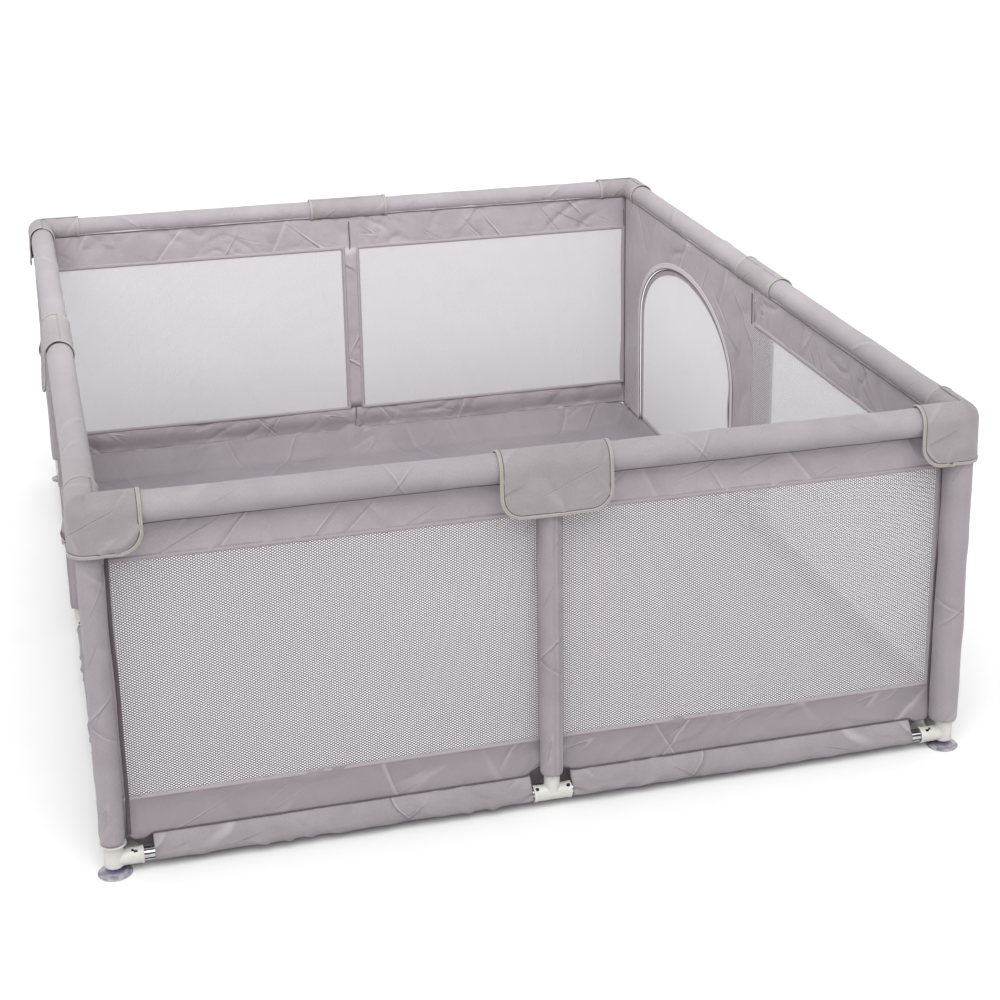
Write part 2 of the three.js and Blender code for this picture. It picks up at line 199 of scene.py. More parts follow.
def selectFaces(piece, test):
    # edit mode, with the faces chosen by their normal
    pick(piece)
    mode("EDIT")
    bpy.ops.mesh.select_mode(type="FACE")
    bpy.ops.mesh.select_all(action="DESELECT")
    mode("OBJECT")
    for polygon in piece.data.polygons:
        polygon.select = bool(test(polygon.normal))
    mode("EDIT")


def merged(piece, distance=0.00002, fill=False):
    # doubles go, open ends are filled if asked, and faces point outwards
    pick(piece)
    mode("EDIT")
    bpy.ops.mesh.select_all(action="SELECT")
    bpy.ops.mesh.remove_doubles(threshold=distance)
    bpy.ops.mesh.dissolve_degenerate(threshold=distance / 2)
    if fill:
        bpy.ops.mesh.select_all(action="SELECT")
        bpy.ops.mesh.fill_holes(sides=0)
    bpy.ops.mesh.select_all(action="SELECT")
    bpy.ops.mesh.normals_make_consistent(inside=False)
    mode("OBJECT")
    return piece


def pointsOf(mesh):
    spots = np.zeros(len(mesh.vertices) * 3)
    mesh.vertices.foreach_get("co", spots)
    return spots.reshape(-1, 3)


def cloth(name, us, vs, place, uv=None):
    # a grid whose points are moved to their place on the cloth; the UV map is in metres
    us, vs = np.asarray(us, float), np.asarray(vs, float)
    clearSelection()
    bpy.ops.mesh.primitive_grid_add(x_subdivisions=len(us) - 1, y_subdivisions=len(vs) - 1, size=1)
    piece = bpy.context.object
    mesh = piece.data
    spots = pointsOf(mesh)
    u, v = (values[whole((spots[:, axis] + 0.5) * (len(values) - 1))] for axis, values in enumerate((us, vs)))
    mesh.vertices.foreach_set("co", np.asarray(place(u, v), float).ravel())
    flat = np.stack(uv(u, v) if uv else (u, v), -1)
    ends = np.zeros(len(mesh.loops), int)
    mesh.loops.foreach_get("vertex_index", ends)
    mesh.uv_layers[0].data.foreach_set("uv", flat[ends].ravel())
    mesh.uv_layers[0].name = "clothMap"
    mesh.update()
    return named(piece, name)


def thickened(piece, thickness, offset=0.0):
    return smoothed(applied(piece, "SOLIDIFY", thickness=thickness, offset=offset, use_even_offset=False))


def ribbon(name, middles, across, out, width, thickness, closed=False, ribs=None):
    # a band with rounded edges swept along a line
    line = np.broadcast_arrays(*(np.asarray(x, float) for x in (middles, across, out)))
    middles, across, out = (np.concatenate([x, x[:1]]) for x in line) if closed else line
    along = np.concatenate([[0], np.cumsum(np.linalg.norm(np.diff(middles, axis=0), axis=1))])
    w, t = width / 2, thickness / 2
    e = min(w, t) * 0.9
    low = [(-w + e * 0.3, -t * 0.75), (-w + e, -t), (w - e, -t), (w - e * 0.3, -t * 0.75)]
    profile = np.array([(-w, 0), *low, (w, 0), *((x, -z) for x, z in low[::-1]), (-w, 0)])

    def place(i, j):
        i, j = whole(i), whole(j)
        swell = 1 if ribs is None else ribs[i][:, None]
        return middles[i] + across[i] * profile[j, :1] + out[i] * profile[j, 1:] * swell

    piece = cloth(name, np.arange(len(middles)), np.arange(len(profile)), place,
                  lambda i, j: (along[whole(i)], profile[whole(j), 0]))
    return smoothed(merged(piece, fill=not closed))


# shader helpers
class Reading:
    # a socket that takes part in sums
    def __init__(self, finish, socket):
        self.finish, self.socket = finish, socket

    def worked(self, operation, other=None, turned=False):
        values = [self] if other is None else ([other, self] if turned else [self, other])
        return self.finish.node("ShaderNodeMath", {"operation": operation}, dict(enumerate(values)))

    def __add__(self, other): return self.worked("ADD", other)
    def __radd__(self, other): return self.worked("ADD", other, True)
    def __sub__(self, other): return self.worked("SUBTRACT", other)
    def __rsub__(self, other): return self.worked("SUBTRACT", other, True)
    def __mul__(self, other): return self.worked("MULTIPLY", other)
    def __rmul__(self, other): return self.worked("MULTIPLY", other, True)
    def sine(self): return self.worked("SINE")
    def cosine(self): return self.worked("COSINE")
    def size(self): return self.worked("ABSOLUTE")


class Finish:
    # one material, with a principled shader
    def __init__(self, name, **constants):
        self.material = bpy.data.materials.new(name)
        self.material.use_nodes = True
        self.tree = self.material.node_tree
        self.shader = self.tree.nodes["Principled BSDF"]
        for key, value in constants.items():
            self.shader.inputs[key.replace("_", " ")].default_value = value

    def node(self, kind, settings=None, inputs=None, output=0):
        made = self.tree.nodes.new(kind)
        for key, value in (settings or {}).items():
            setattr(made, key, value)
        for key, value in (inputs or {}).items():
            if isinstance(value, Reading):
                self.tree.links.new(value.socket, made.inputs[key])
            else:
                made.inputs[key].default_value = value
        return Reading(self, made.outputs[output])

    def feed(self, **links):
        for key, value in links.items():
            self.tree.links.new(value.socket, self.shader.inputs[key.replace("_", " ")])

    def mixed(self, factor, a, b):
        return self.node("ShaderNodeMix", {"data_type": "RGBA"}, {0: factor, 6: a, 7: b}, 2)

    def ranged(self, value, a, b, c=0.0, d=1.0):
        return self.node("ShaderNodeMapRange", {"interpolation_type": "SMOOTHSTEP"}, {0: value, 1: a, 2: b, 3: c, 4: d})

    def noise(self, spot, scale, detail=3.0, roughness=0.55):
        return self.node("ShaderNodeTexNoise", None,
                         {"Vector": spot, "Scale": scale, "Detail": detail, "Roughness": roughness})

    def spread(self, spot, x, y, z=1.0):
        return self.node("ShaderNodeMapping", None, {"Vector": spot, "Scale": (x, y, z)})

    def clothSpot(self):
        return self.node("ShaderNodeUVMap", {"uv_map": "clothMap"})

    def solidSpot(self):
        return self.node("ShaderNodeTexCoord", None, None, 3)

    def axes(self, spot):
        # the three numbers of a spot
        outputs = self.node("ShaderNodeSeparateXYZ", None, {0: spot}).socket.node.outputs
        return [Reading(self, socket) for socket in outputs]

    def bumped(self, height, distance, strength=1.0):
        return self.node("ShaderNodeBump", None, {"Height": height, "Distance": distance, "Strength": strength})


def tint(r, g, b):
    # screen values to the shader's own
    return tuple(((c / 255 + 0.055) / 1.055) ** 2.4 if c > 10 else c / 3295 for c in (r, g, b)) + (1,)


def scaled(colour, factor):
    return tuple(min(1, c * factor) for c in colour[:3]) + (1,)


def wovenFinish(name, light, dark, crease=1.0, foot=0.0, slant=1.0):
    # tight plain-weave nylon, heathered, with soft pressed creases that carry a painted highlight and painted shade
    finish = Finish(name, Roughness=0.62, Sheen_Weight=0.14, Sheen_Roughness=0.45, Specular_IOR_Level=0.35)
    light, dark = tint(*light), tint(*dark)
    spot = finish.clothSpot()
    along, across, _ = finish.axes(spot)
    turn = 2 * math.pi / 0.0011           # one thread
    threads = (along * turn).cosine() * (across * turn).cosine()
    heather = finish.noise(finish.spread(spot, 240, 900), 1.0, 2.0) * 0.5
    heather = heather + finish.noise(finish.spread(spot, 900, 240), 1.0, 2.0) * 0.5
    patches = finish.noise(spot, 9.0, 4.0, 0.6)
    shade = finish.ranged(patches, 0.35, 0.68) * 0.45 + finish.ranged(heather, 0.36, 0.64) * 0.4 + threads * 0.08
    # pressed creases: a ridge beside a groove, where a slow noise crosses its middle; the ridge gets a painted
    # highlight and the groove painted shade, besides the bump
    ridges, grooves = 0, 0
    for wide, tall, turn, depth in ((11, 1.3, 0.75, 1.0), (9, 1.0, -0.5, 0.8), (26, 2.6, 1.15, 0.7)):
        placed = finish.node("ShaderNodeMapping", None, {"Vector": spot, "Rotation": (0, 0, turn * slant)})
        placed = finish.spread(placed, wide, tall)
        slow = finish.noise(placed, 1.0, 0.6, 0.3) - 0.5
        shown = finish.ranged(finish.noise(finish.spread(placed, 0.9, 2.6), 1.0, 1.0), 0.50, 0.64) * depth

        def line(rise, crest, dip, foot):
            return finish.ranged(slow, rise, crest) * (1 - finish.ranged(slow, dip, foot)) * shown

        ridges = line(-0.004, 0.006, 0.006, 0.030) + ridges
        grooves = line(-0.046, -0.008, -0.008, 0.003) + grooves
    body = finish.mixed(shade + 0.08, dark, light)
    if foot:
        # painted shade: the cloth is drawn darker near the ground, and more so towards the front
        _, deep, high = finish.axes(finish.solidSpot())
        low = finish.ranged(high, 0.05, 0.50, foot, 0.0) * finish.ranged(deep, -0.8, 0.5, 1.0, 0.0)
        body = finish.mixed(low, body, scaled(dark, 0.5))
    # painted highlight along the crease ridges, then painted shade in their grooves
    lit = finish.mixed(ridges * (0.30 * crease), body, scaled(light, 1.75))
    finish.feed(Base_Color=finish.mixed(grooves * (0.26 * crease), lit, scaled(dark, 0.42)),
                Roughness=finish.ranged(patches, 0.3, 0.7, 0.55, 0.7))
    soft = finish.noise(finish.spread(spot, 22, 48), 1.0, 3.0, 0.5)
    height = soft * (0.9 * crease) + (ridges - grooves) * (0.8 * crease) + threads * 0.055
    finish.feed(Normal=finish.bumped(height, 0.0024, 0.9))
    return finish.material


def netFinish(name, thread, rim, opening, rimShadeWidth, wide=0.0074, tall=0.0044):
    # knitted net: staggered round holes between light threads, with painted shade darkening the thread round each hole
    finish = Finish(name, Roughness=0.55, Sheen_Weight=0.15, Specular_IOR_Level=0.3)
    thread, rim = tint(*thread), tint(*rim)
    spot = finish.clothSpot()
    along, across, _ = finish.axes(spot)
    holes = (along * (2 * math.pi / wide)).cosine() * (across * (2 * math.pi / tall)).cosine()
    knit = (along * (8 * math.pi / wide)).sine() * (across * (4 * math.pi / tall)).sine()
    # painted shade: the rim colour darkens the thread round each hole
    edge = finish.ranged(holes, opening - rimShadeWidth, opening - rimShadeWidth * 0.6)
    shade = finish.noise(spot, 7.0, 2.0) * 0.3 + knit * 0.1
    body = finish.mixed(shade + 0.35, scaled(thread, 0.86), thread)
    finish.feed(Base_Color=finish.mixed(edge * 0.95, body, rim),
                Alpha=1 - finish.ranged(holes, opening - 0.02, opening + 0.06),
                Normal=finish.bumped(1 - edge + knit * 0.2, 0.0006, 0.6))
    return finish.material


def moulded(name, light, dark, roughness):
    # moulded plastic with a faint grain
    finish = Finish(name, Roughness=roughness)
    spot = finish.solidSpot()
    patches = finish.noise(spot, 38.0, 3.0)
    fine = finish.noise(spot, 900.0, 2.0)
    grain = fine * 0.5 + patches * 0.5
    finish.feed(Base_Color=finish.mixed(finish.ranged(patches, 0.3, 0.7), tint(*dark), tint(*light)),
                Roughness=finish.ranged(grain, 0.3, 0.7, roughness - 0.06, roughness + 0.1),
                Normal=finish.bumped(fine, 0.00012, 0.6))
    return finish.material


def steelFinish(name, bright, dull, roughness, streak=(30, 30, 30), reflectionStripes=()):
    # drawn steel tube with fine streaks along its length, and dark painted reflection stripes at given heights
    finish = Finish(name, Metallic=1.0, Roughness=roughness)
    streaks = finish.noise(finish.spread(finish.solidSpot(), *streak), 1.0, 4.0, 0.6)
    colour = finish.mixed(finish.ranged(streaks, 0.35, 0.65), tint(*dull), tint(*bright))
    height = finish.axes(finish.solidSpot())[2]
    # painted reflection: near-black stripes at these heights
    for level, width in reflectionStripes:
        near = 1 - finish.ranged((height - level).size(), width * 0.6, width)
        colour = finish.mixed(near * 0.93, colour, tint(20, 18, 18))
    finish.feed(Base_Color=colour, Roughness=finish.ranged(streaks, 0.3, 0.7, roughness, roughness + 0.14),
                Normal=finish.bumped(streaks, 0.0001, 0.5))
    return finish.material


def stitchedFinish(name, light, dark, thread, edge, rows):
    # folded binding tape with rows of stitches, sunk in grooves drawn darker with painted shade
    finish = Finish(name, Roughness=0.6, Sheen_Weight=0.2, Specular_IOR_Level=0.35)
    spot = finish.clothSpot()
    along, across, _ = finish.axes(spot)
    rib, stitch = 0.0016, 0.0045
    ribs = (along * (2 * math.pi / rib)).cosine() * 0.5 + 0.5
    dashes = finish.ranged((along * (2 * math.pi / stitch)).cosine(), -0.6, -0.1)
    mask = None
    for row in rows:
        near = 1 - finish.ranged((across - row).size(), 0.0004, 0.0009)
        mask = near if mask is None else mask.worked("MAXIMUM", near)
    stitches = mask * dashes
    shade = finish.noise(spot, 40.0, 3.0) * 0.6 + ribs * 0.3
    # painted shade: the edge colour darkens each stitch row's groove
    grooved = finish.mixed(mask * 0.7, finish.mixed(shade, tint(*dark), tint(*light)), tint(*edge))
    finish.feed(Base_Color=finish.mixed(stitches * 0.45, grooved, tint(*thread)),
                Normal=finish.bumped(ribs * 0.12 - mask * 0.8 + stitches * 0.7, 0.0006, 0.7))
    return finish.material


def cupFinish():
    # soft vinyl, darker at its neck
    finish = Finish("suctionCup", Roughness=0.22, Coat_Weight=0.4, Coat_Roughness=0.15, Specular_IOR_Level=0.6)
    spot = finish.solidSpot()
    height = finish.axes(spot)[2]
    streaks = finish.noise(finish.spread(spot, 90, 90, 300), 1.0, 3.0)
    rim = finish.mixed(finish.ranged(streaks, 0.3, 0.7), tint(100, 96, 106), tint(150, 146, 154))
    neck = finish.ranged(height + streaks * 0.002, 0.0052, 0.0090)
    finish.feed(Base_Color=finish.mixed(neck, rim, tint(74, 68, 96)),
                Roughness=finish.ranged(streaks, 0.3, 0.7, 0.16, 0.32),
                Normal=finish.bumped(streaks, 0.0004, 0.5))
    return finish.material


# light and dark of each finish in screen values; a net has its thread and the painted shade round its holes (rim)
finishes = {
    # the walls' foot value sets the painted shade near the ground
    "wall": wovenFinish("wallCloth", (166, 158, 163), (146, 138, 144), crease=0.65, foot=0.66),
    "sleeve": wovenFinish("sleeveCloth", (141, 135, 139), (122, 116, 121), crease=1.3),
    "post": wovenFinish("postCloth", (148, 141, 145), (130, 123, 128), crease=0.6),
    "rail": wovenFinish("railCloth", (152, 146, 150), (134, 128, 133), crease=0.45),
    "cover": wovenFinish("coverCloth", (145, 139, 141), (127, 121, 124), crease=0.9, slant=-1.0),
    "floor": wovenFinish("floorCloth", (132, 125, 131), (117, 110, 116), crease=0.5),
    # painted shade: dark cloth for the shadow strip beside the corner posts, the seam lines and the row beside each
    # binding
    "edge": wovenFinish("shadedSeam", (96, 85, 90), (72, 62, 67), crease=0.5),
    "net": netFinish("wallNet", (234, 230, 234), (8, 6, 8), 0.40, 0.68),
    "farNet": netFinish("farNet", (176, 171, 176), (160, 155, 160), 0.30, 0.10, 0.0050, 0.0030),
    "doorNet": netFinish("doorNet", (194, 189, 194), (176, 171, 176), 0.30, 0.10, 0.0050, 0.0030),
    # light, dark, thread and edge (painted shade in the stitch grooves), then the rows of stitches across the tape
    "binding": stitchedFinish("coverBinding", (158, 153, 148), (136, 131, 127), (160, 154, 149), (110, 102, 98), (0.0,)),
    "hem": stitchedFinish("netHem", (156, 148, 153), (139, 131, 136), (162, 154, 159), (114, 104, 110), (-0.0030, 0.0030)),
    "zipTape": stitchedFinish("zipTape", (196, 190, 193), (176, 169, 173), (140, 132, 138), (110, 102, 108), (0.003,)),
    "zipTeeth": moulded("zipTeeth", (112, 103, 109), (84, 76, 82), 0.38),
    "slider": moulded("zipSlider", (176, 171, 174), (150, 144, 148), 0.3),
    "plastic": moulded("connectorPlastic", (187, 185, 180), (173, 170, 165), 0.4),
    # the bare tube carries three painted reflection stripes
    "tube": steelFinish("bareTube", (226, 226, 230), (150, 150, 156), 0.16, (45, 45, 900),
                        ((0.0352, 0.0010), (0.0312, 0.0016), (0.0232, 0.0019))),
    "hiddenTube": steelFinish("innerTube", (200, 200, 204), (150, 150, 154), 0.3),
    "spring": steelFinish("springClip", (60, 60, 64), (34, 34, 38), 0.35),
    "cup": cupFinish(),
}
print("finishes ready")


def dressed(piece, finish):
    piece.data.materials.clear()
    piece.data.materials.append(finishes[finish])
    return piece


# wall cloth
walls = {
    "top": 0.6125,          # cloth runs up into the rail's padding
    "bottom": 0.0560,
    "netTop": 0.524,
    "netBottom": 0.121,
    "thickness": 0.0012,
    "postHalf": 0.0165,     # middle post, seen as the strip between two nets
    "farPostHalf": 0.0215,  # the same strip in the back wall
    "hemWidth": 0.0085,
    "hemThickness": 0.0044,
}
# width and thickness of each dark line: the painted shadow in the gap by a corner post, and seam lines drawn dark with
# painted shade
seamSizes = {"piping": (0.0068, 0.0026), "foot": (0.0015, 0.0014), "rail": (0.0020, 0.0012), "middle": (0.0022, 0.0016)}


def wallDepth(side, x, z):
    # the cloth leaves its plane at the corner posts, and leans out to the seam at its foot
    half = sides[side][2]
    drawn = smooth(half - 0.030, half - pen["wallJoin"], np.abs(x))
    lean = smooth(walls["netBottom"] - 0.012, walls["bottom"], z) ** 1.3
    flat = pen["wallIn"] - (pen["wallIn"] - pen["seamIn"]) * lean
    return flat + (pen["wallJoin"] - flat) * drawn


def footOf(side, x):
    # the foot of the lower band: drawn up beside the middle post, and dipping at the corners
    away, half = np.abs(x), sides[side][2]
    if side != "front":
        return np.zeros(np.shape(x))
    rise = np.where(np.asarray(x) < 0, 0.016 * smooth(0.046, 0.020, away), 0.009 * smooth(0.044, 0.022, away))
    dip = 0.0075 * smooth(half - 0.064, half - 0.050, away) - 0.012 * smooth(half - 0.034, half - 0.022, away)
    return rise - dip


def bandPlace(side, seed, low, high):
    def place(x, z):
        # the top band puckers at its hem, and the lower one has slanting pressed folds
        half, upper = sides[side][2], low > 0.3
        near = np.exp(-np.abs(z - (walls["netTop"] if upper else walls["netBottom"])) / 0.013)
        pucker = near * 0.0022 * folds(x, z, 0.019, 0.35, seed, 1.6, 0.9)
        drift = 0.0013 * ripple(x, z, seed + 3, 0.24)
        crease = 0.0030 * folds(x, z, 0.075, 0.85, seed + 5, 9.0, 0.7)
        crease = crease + 0.0022 * folds(x, z, 0.052, -0.6, seed + 6, 11.0, 0.9)
        held = smooth(0, 0.012, np.minimum(z - low, high - z)) * smooth(half - 0.02, half - 0.05, np.abs(x))
        if not upper:
            z = z + footOf(side, x) * (1 - (z - low) / (high - low))
            tight = smooth(0.016, 0.0, z - footOf(side, x) - low)
            drift = drift - 0.0016 * tight * folds(x, z * 0, 0.024, 0.0, seed + 8, 2.0, 1.0)
        return onSide(side, x, wallDepth(side, x, z) - pucker + (drift - crease) * (held + 0.12), z)
    return place


def netPlace(side, seed, x0, x1, z0, z1):
    def place(x, z):
        # a net hangs nearly flat and bellies a little between its hems
        belly = np.sin(math.pi * (x - x0) / (x1 - x0)) * np.sin(math.pi * (z - z0) / (z1 - z0))
        waver = 0.0012 * ripple(x, z, seed, 0.22) * np.clip(belly, 0, 1)
        return onSide(side, x, pen["wallIn"] + 0.004 * belly + waver, z)
    return place


def hemLoop(side, x0, x1, z0, z1):
    # a folded hem round a net opening
    xs, zs = spaced(x0, x1, 0.012), spaced(z0, z1, 0.012)
    edges = ((xs, z0), (x1, zs), (xs[::-1], z1), (x0, zs[::-1]))
    line = np.concatenate([np.stack(np.broadcast_arrays(x, z), -1)[:-1] for x, z in edges])
    off = line - ((x0 + x1) / 2, (z0 + z1) / 2)
    outward = np.sign(off) * (np.abs(off) > np.array([x1 - x0, z1 - z0]) / 2 - 1e-6)
    waver = 0.0008 * np.sin(line[:, 0] * 260) * np.sin(line[:, 1] * 190)
    return ribbon("hem", onSide(side, line[:, 0], pen["wallIn"] + waver, line[:, 1]),
                  wayOn(side, outward[:, 0], 0, outward[:, 1]), wayOn(side, 0, -1, 0),
                  walls["hemWidth"], walls["hemThickness"], closed=True)


def makeSeams(side, seed, farEnd):
    # a dark strip of painted shadow in the gap beside each corner post, and the seam lines of the sleeves and the
    # middle strip, drawn dark with painted shade
    half, parts = sides[side][2], []

    def sew(kind, x, y, z, across, out):
        parts.append(ribbon(kind, onSide(side, x, y, z), wayOn(side, *across), wayOn(side, *out), *seamSizes[kind]))

    for sign in (-1, 1) if farEnd else (-1,):
        zs = spaced(0.060, 0.575, 0.012)
        inset = 0.0275 + 0.0016 * ripple(zs, zs * 0, seed + 61, 0.2) - (0.0050 if sign > 0 else 0)
        sew("piping", sign * (half - inset), wallDepth(side, half - inset, zs) - 0.0018, zs, (sign, 0, 0), (0, -1, 0))
    for sign in (-1, 1):
        # dark line along the band's foot: painted shade where the band laps over the sleeve
        xs = spaced(pads["baseMidGap"] + 0.003, half - pads["baseCornerGap"], 0.012)
        foot = walls["bottom"] + 0.0006 + footOf(side, sign * xs) * 0.6
        sew("foot", sign * xs, pen["seamIn"] - 0.0018, foot, (0, 0, 1), (0, -1, 0))
        # dark lines along the rail padding's joins with the wall: painted shade under and behind the padding
        xs = spaced(pads["railMidGap"], half - pads["railCornerGap"], 0.012)
        for y, drop, across, out in ((-0.0081, 0.0249, (0, 0.951, -0.309), (0, -0.309, -0.951)),
                                     (0.0236, 0.0119, (0, 0, 1), (0, 1, 0))):
            sew("rail", sign * xs, y, pads["railZ"] - drop + 0.0004 * np.sin(xs * 55), across, out)
    for low, high in ((walls["bottom"] + 0.018, walls["netBottom"] - 0.002), (walls["netTop"] + 0.002, 0.594)):
        zs = spaced(low, high, 0.008)
        sew("middle", 0.002 + 0.0006 * np.sin(zs * 90), wallDepth(side, 0.0, zs) + 0.0024, zs, (1, 0, 0), (0, 1, 0))
    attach(dressed(joined(parts, side + "_wall_seams"), "edge"), "root")


def makeWall(side, seed, bays, panel=None):
    # a band above and below, upright strips beside the nets, and the door's panel if there is one
    end = sides[side][2] - pen["wallJoin"]
    z0, z1 = walls["netBottom"], walls["netTop"]
    xs = spaced(-end, bays[-1][1] + 0.004 if panel else end, 0.0065)
    strips = []
    for number, (low, high) in enumerate(((z1, walls["top"]), (walls["bottom"], z0))):
        strips.append(cloth("band", xs, spaced(low, high, 0.0042), bandPlace(side, seed + number * 11, low, high)))
    ends = [(-end, bays[0][0])] + ([] if panel else [(bays[-1][1], end)])
    gaps = [(left[1], right[0]) for left, right in zip(bays, bays[1:])]

    def strip(x, z):
        return onSide(side, x, wallDepth(side, x, z + 1) + 0.0003 + 0.0006 * ripple(x, z, seed, 0.1), z)

    for a, b in ends + gaps:
        strips.append(cloth("strip", spaced(a, b, 0.005), spaced(z0 - 0.004, z1 + 0.004, 0.02), strip))
    wall = joined(strips + ([panel] if panel else []), side + "_wall_cloth")
    thickened(wall, walls["thickness"])
    dressed(wall, "wall")
    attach(wall, "root")
    hems, w, lap = [], walls["hemWidth"] / 2, 0.003
    for number, (a, b) in enumerate(bays):
        span = (a - lap, b + lap, z0 - lap, z1 + lap)
        net = cloth(f"{side}_net_{'ab'[number]}", spaced(*span[:2], 0.02), spaced(*span[2:], 0.02),
                    netPlace(side, seed + 31 + number, *span))
        dressed(smoothed(net), "net" if side == "front" else "farNet")
        b - a + 0.006
        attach(net, "root")
        hems.append(hemLoop(side, a - w, b + w, z0 - w, z1 + w))
    hem = dressed(joined(hems, side + "_net_hems"), "hem")
    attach(hem, "root")
    makeSeams(side, seed, panel is None)
    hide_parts(side + "_wall")


# door
door = {
    "near": 0.119,          # opening, local x
    "far": 0.748,
    "spring": 0.332,        # the arch springs from here
    "rise": 0.186,
    "foot": 0.0575,
    "depth": 0.0186,        # the net's plane, inward
    "zipDepth": 0.0232,
    "tape": 0.0125,
    "border": 0.013,
    "bulge": 0.010,
    "teeth": 1500,
}


def archLine(grow, count=120, foot=None):
    # points up the near leg, over the arch and down the far leg, as (x, z)
    a, b = door["near"] - grow, door["far"] + grow
    middle, halfWide = (a + b) / 2, (b - a) / 2
    foot = door["foot"] if foot is None else foot
    rise = door["rise"] + grow
    legs = int(count * 0.24)
    up = np.stack([np.full(legs, a), np.linspace(foot, door["spring"], legs, endpoint=False)], -1)
    turn = np.linspace(math.pi, 0, count - 2 * legs)
    over = np.stack([middle + halfWide * np.cos(turn), door["spring"] + rise * np.sin(turn)], -1)
    down = np.stack([np.full(legs, b), np.linspace(door["spring"], foot, legs + 1)[1:]], -1)
    return np.concatenate([up, over, down])


def archBand(name, grow, width, thickness, y, count=240, ribs=None, shift=None):
    line = archLine(grow, count)
    if shift is not None:
        line = line + shift(line)
    along = unit(np.gradient(line, axis=0))
    return ribbon(name, onSide("right", line[:, 0], y, line[:, 1]), wayOn("right", -along[:, 1], 0, along[:, 0]),
                  wayOn("right", 0, 1, 0), width, thickness, ribs=ribs)


def panelRoundDoor(seed):
    # the cloth between the arch and the panel's straight edges
    x0, x1 = -0.008, sides["right"][2] - pen["wallJoin"]
    inner = archLine(0.0015, 190, walls["bottom"])
    top, spring, middle = walls["top"], door["spring"], (door["near"] + door["far"]) / 2
    share = math.pi / 4 * 0.72              # rays below this end on an upright edge
    outer = []
    for x, z in inner:
        ray = math.atan2((z - spring) / door["rise"], (x - middle) / 0.318)
        if z <= spring + 1e-9:
            outer.append((x0 if x < middle else x1, z))
        elif ray > math.pi - share:
            outer.append((x0, spring + (math.pi - ray) / share * (top - spring)))
        elif ray < share:
            outer.append((x1, spring + ray / share * (top - spring)))
        else:
            outer.append((x1 + (ray - share) / (math.pi - 2 * share) * (x0 - x1), top))
    outer = np.array(outer)

    def spot(i, t):
        i = whole(i)
        return tuple((inner[i] * (1 - t[:, None]) + outer[i] * t[:, None]).T)

    def place(i, t):
        x, z = spot(i, t)
        eased = np.clip(t * 3, 0, 1)
        pull = 0.0034 * ripple(x, z, seed, 0.26) * np.clip(t * 4, 0, 1) * np.clip((1 - t) * 5, 0, 1)
        slant = 0.0052 * folds(x, z, 0.050, 0.75, seed + 2, 5.0, 0.5) * smooth(0.34, 0.08, z) * eased
        drop = 0.0030 * folds(x, z, 0.10, 0.5, seed + 4, 8.0, 0.6) * eased * np.clip((1 - t) * 6, 0, 1)
        loose = (pull + slant - drop) * smooth(0.88, 0.85, np.abs(x))
        return onSide("right", x, wallDepth("right", x, z + 1) + loose, z)

    return cloth("rightpanel", np.arange(len(inner)), np.linspace(0, 1, 38), place, spot)


def makeDoor():
    # net panel with its border, which folds down on the door hinge
    inset, foot = 0.012, door["foot"] + 0.003
    a, b = door["near"] + inset, door["far"] - inset

    def bulged(line):
        # the free lower end of the zip springs out of line
        push = door["bulge"] * np.exp(-((line[:, 1] - 0.285) / 0.040) ** 2) * (line[:, 0] < 0.3)
        return np.stack([push, np.zeros(len(line))], -1)

    def flat(s, t):
        # columns across the door, rows from the sill to the arch
        x = a + (b - a) * s
        reach = np.clip(1 - ((x - (a + b) / 2) / ((b - a) / 2)) ** 2, 0, 1)
        top = door["spring"] + (door["rise"] - inset) * np.sqrt(reach)
        return x, foot + (top - foot) * t

    def place(s, t):
        x, z = flat(s, t)
        belly = 0.004 * np.sin(math.pi * s) * np.sin(math.pi * t)
        return onSide("right", x, door["depth"] + 0.0016 * ripple(x, z, 77, 0.2) * np.sin(math.pi * s) + belly, z)

    columns = 0.5 - 0.5 * np.cos(np.linspace(0, math.pi, 61))
    net = dressed(smoothed(cloth("door_net", columns, np.linspace(0, 1, 31), place, flat)), "doorNet")
    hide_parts("door_panel")
    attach(net, "door")
    border = archBand("door_border", -0.0105, door["border"], 0.0022, door["depth"], shift=bulged)
    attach(dressed(border, "hem"), "door")
    # sill hem along the fold
    xs = spaced(door["near"] + 0.004, door["far"] - 0.004, 0.012)
    sill = ribbon("door_sill_hem", onSide("right", xs, door["depth"], door["foot"] + 0.0055),
                  wayOn("right", 0, 0, 1), wayOn("right", 0, 1, 0), 0.008, 0.0022)
    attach(dressed(sill, "hem"), "door")
    # zip: tape and teeth, one half on the wall and one on the door
    tape = archBand("zip_tape_wall", 0.0065, door["tape"], 0.0012, door["zipDepth"])
    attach(dressed(tape, "zipTape"), "root")
    bead = 0.55 + 0.45 * (np.arange(door["teeth"]) % 3 == 1)
    teeth = archBand("zip_teeth_wall", -0.0012, 0.0030, 0.0026, door["zipDepth"], door["teeth"], bead)
    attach(dressed(teeth, "zipTeeth"), "root")
    teeth = archBand("zip_teeth_door", -0.0046, 0.0028, 0.0024, 0.0198, door["teeth"], bead, bulged)
    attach(dressed(teeth, "zipTeeth"), "door")


# padded sleeves
pads = {
    "railRadius": 0.0250,
    "railZ": 0.6202,        # the padding hangs a little below the tube
    "midRadius": 0.0205,
    "baseRadius": 0.0140,
    "bore": 0.0118,
    "cuff": 0.004,
    "railCornerGap": 0.050,
    "railMidGap": 0.035,
    "baseCornerGap": 0.064,
    "baseMidGap": 0.035,
    "cornerRadius": {"front_left": 0.0200, "front_right": 0.0232},   # one drawn tight, the other full
    "cornerStand": {"front_right": 0.0050},                          # stands out along the front wall
}
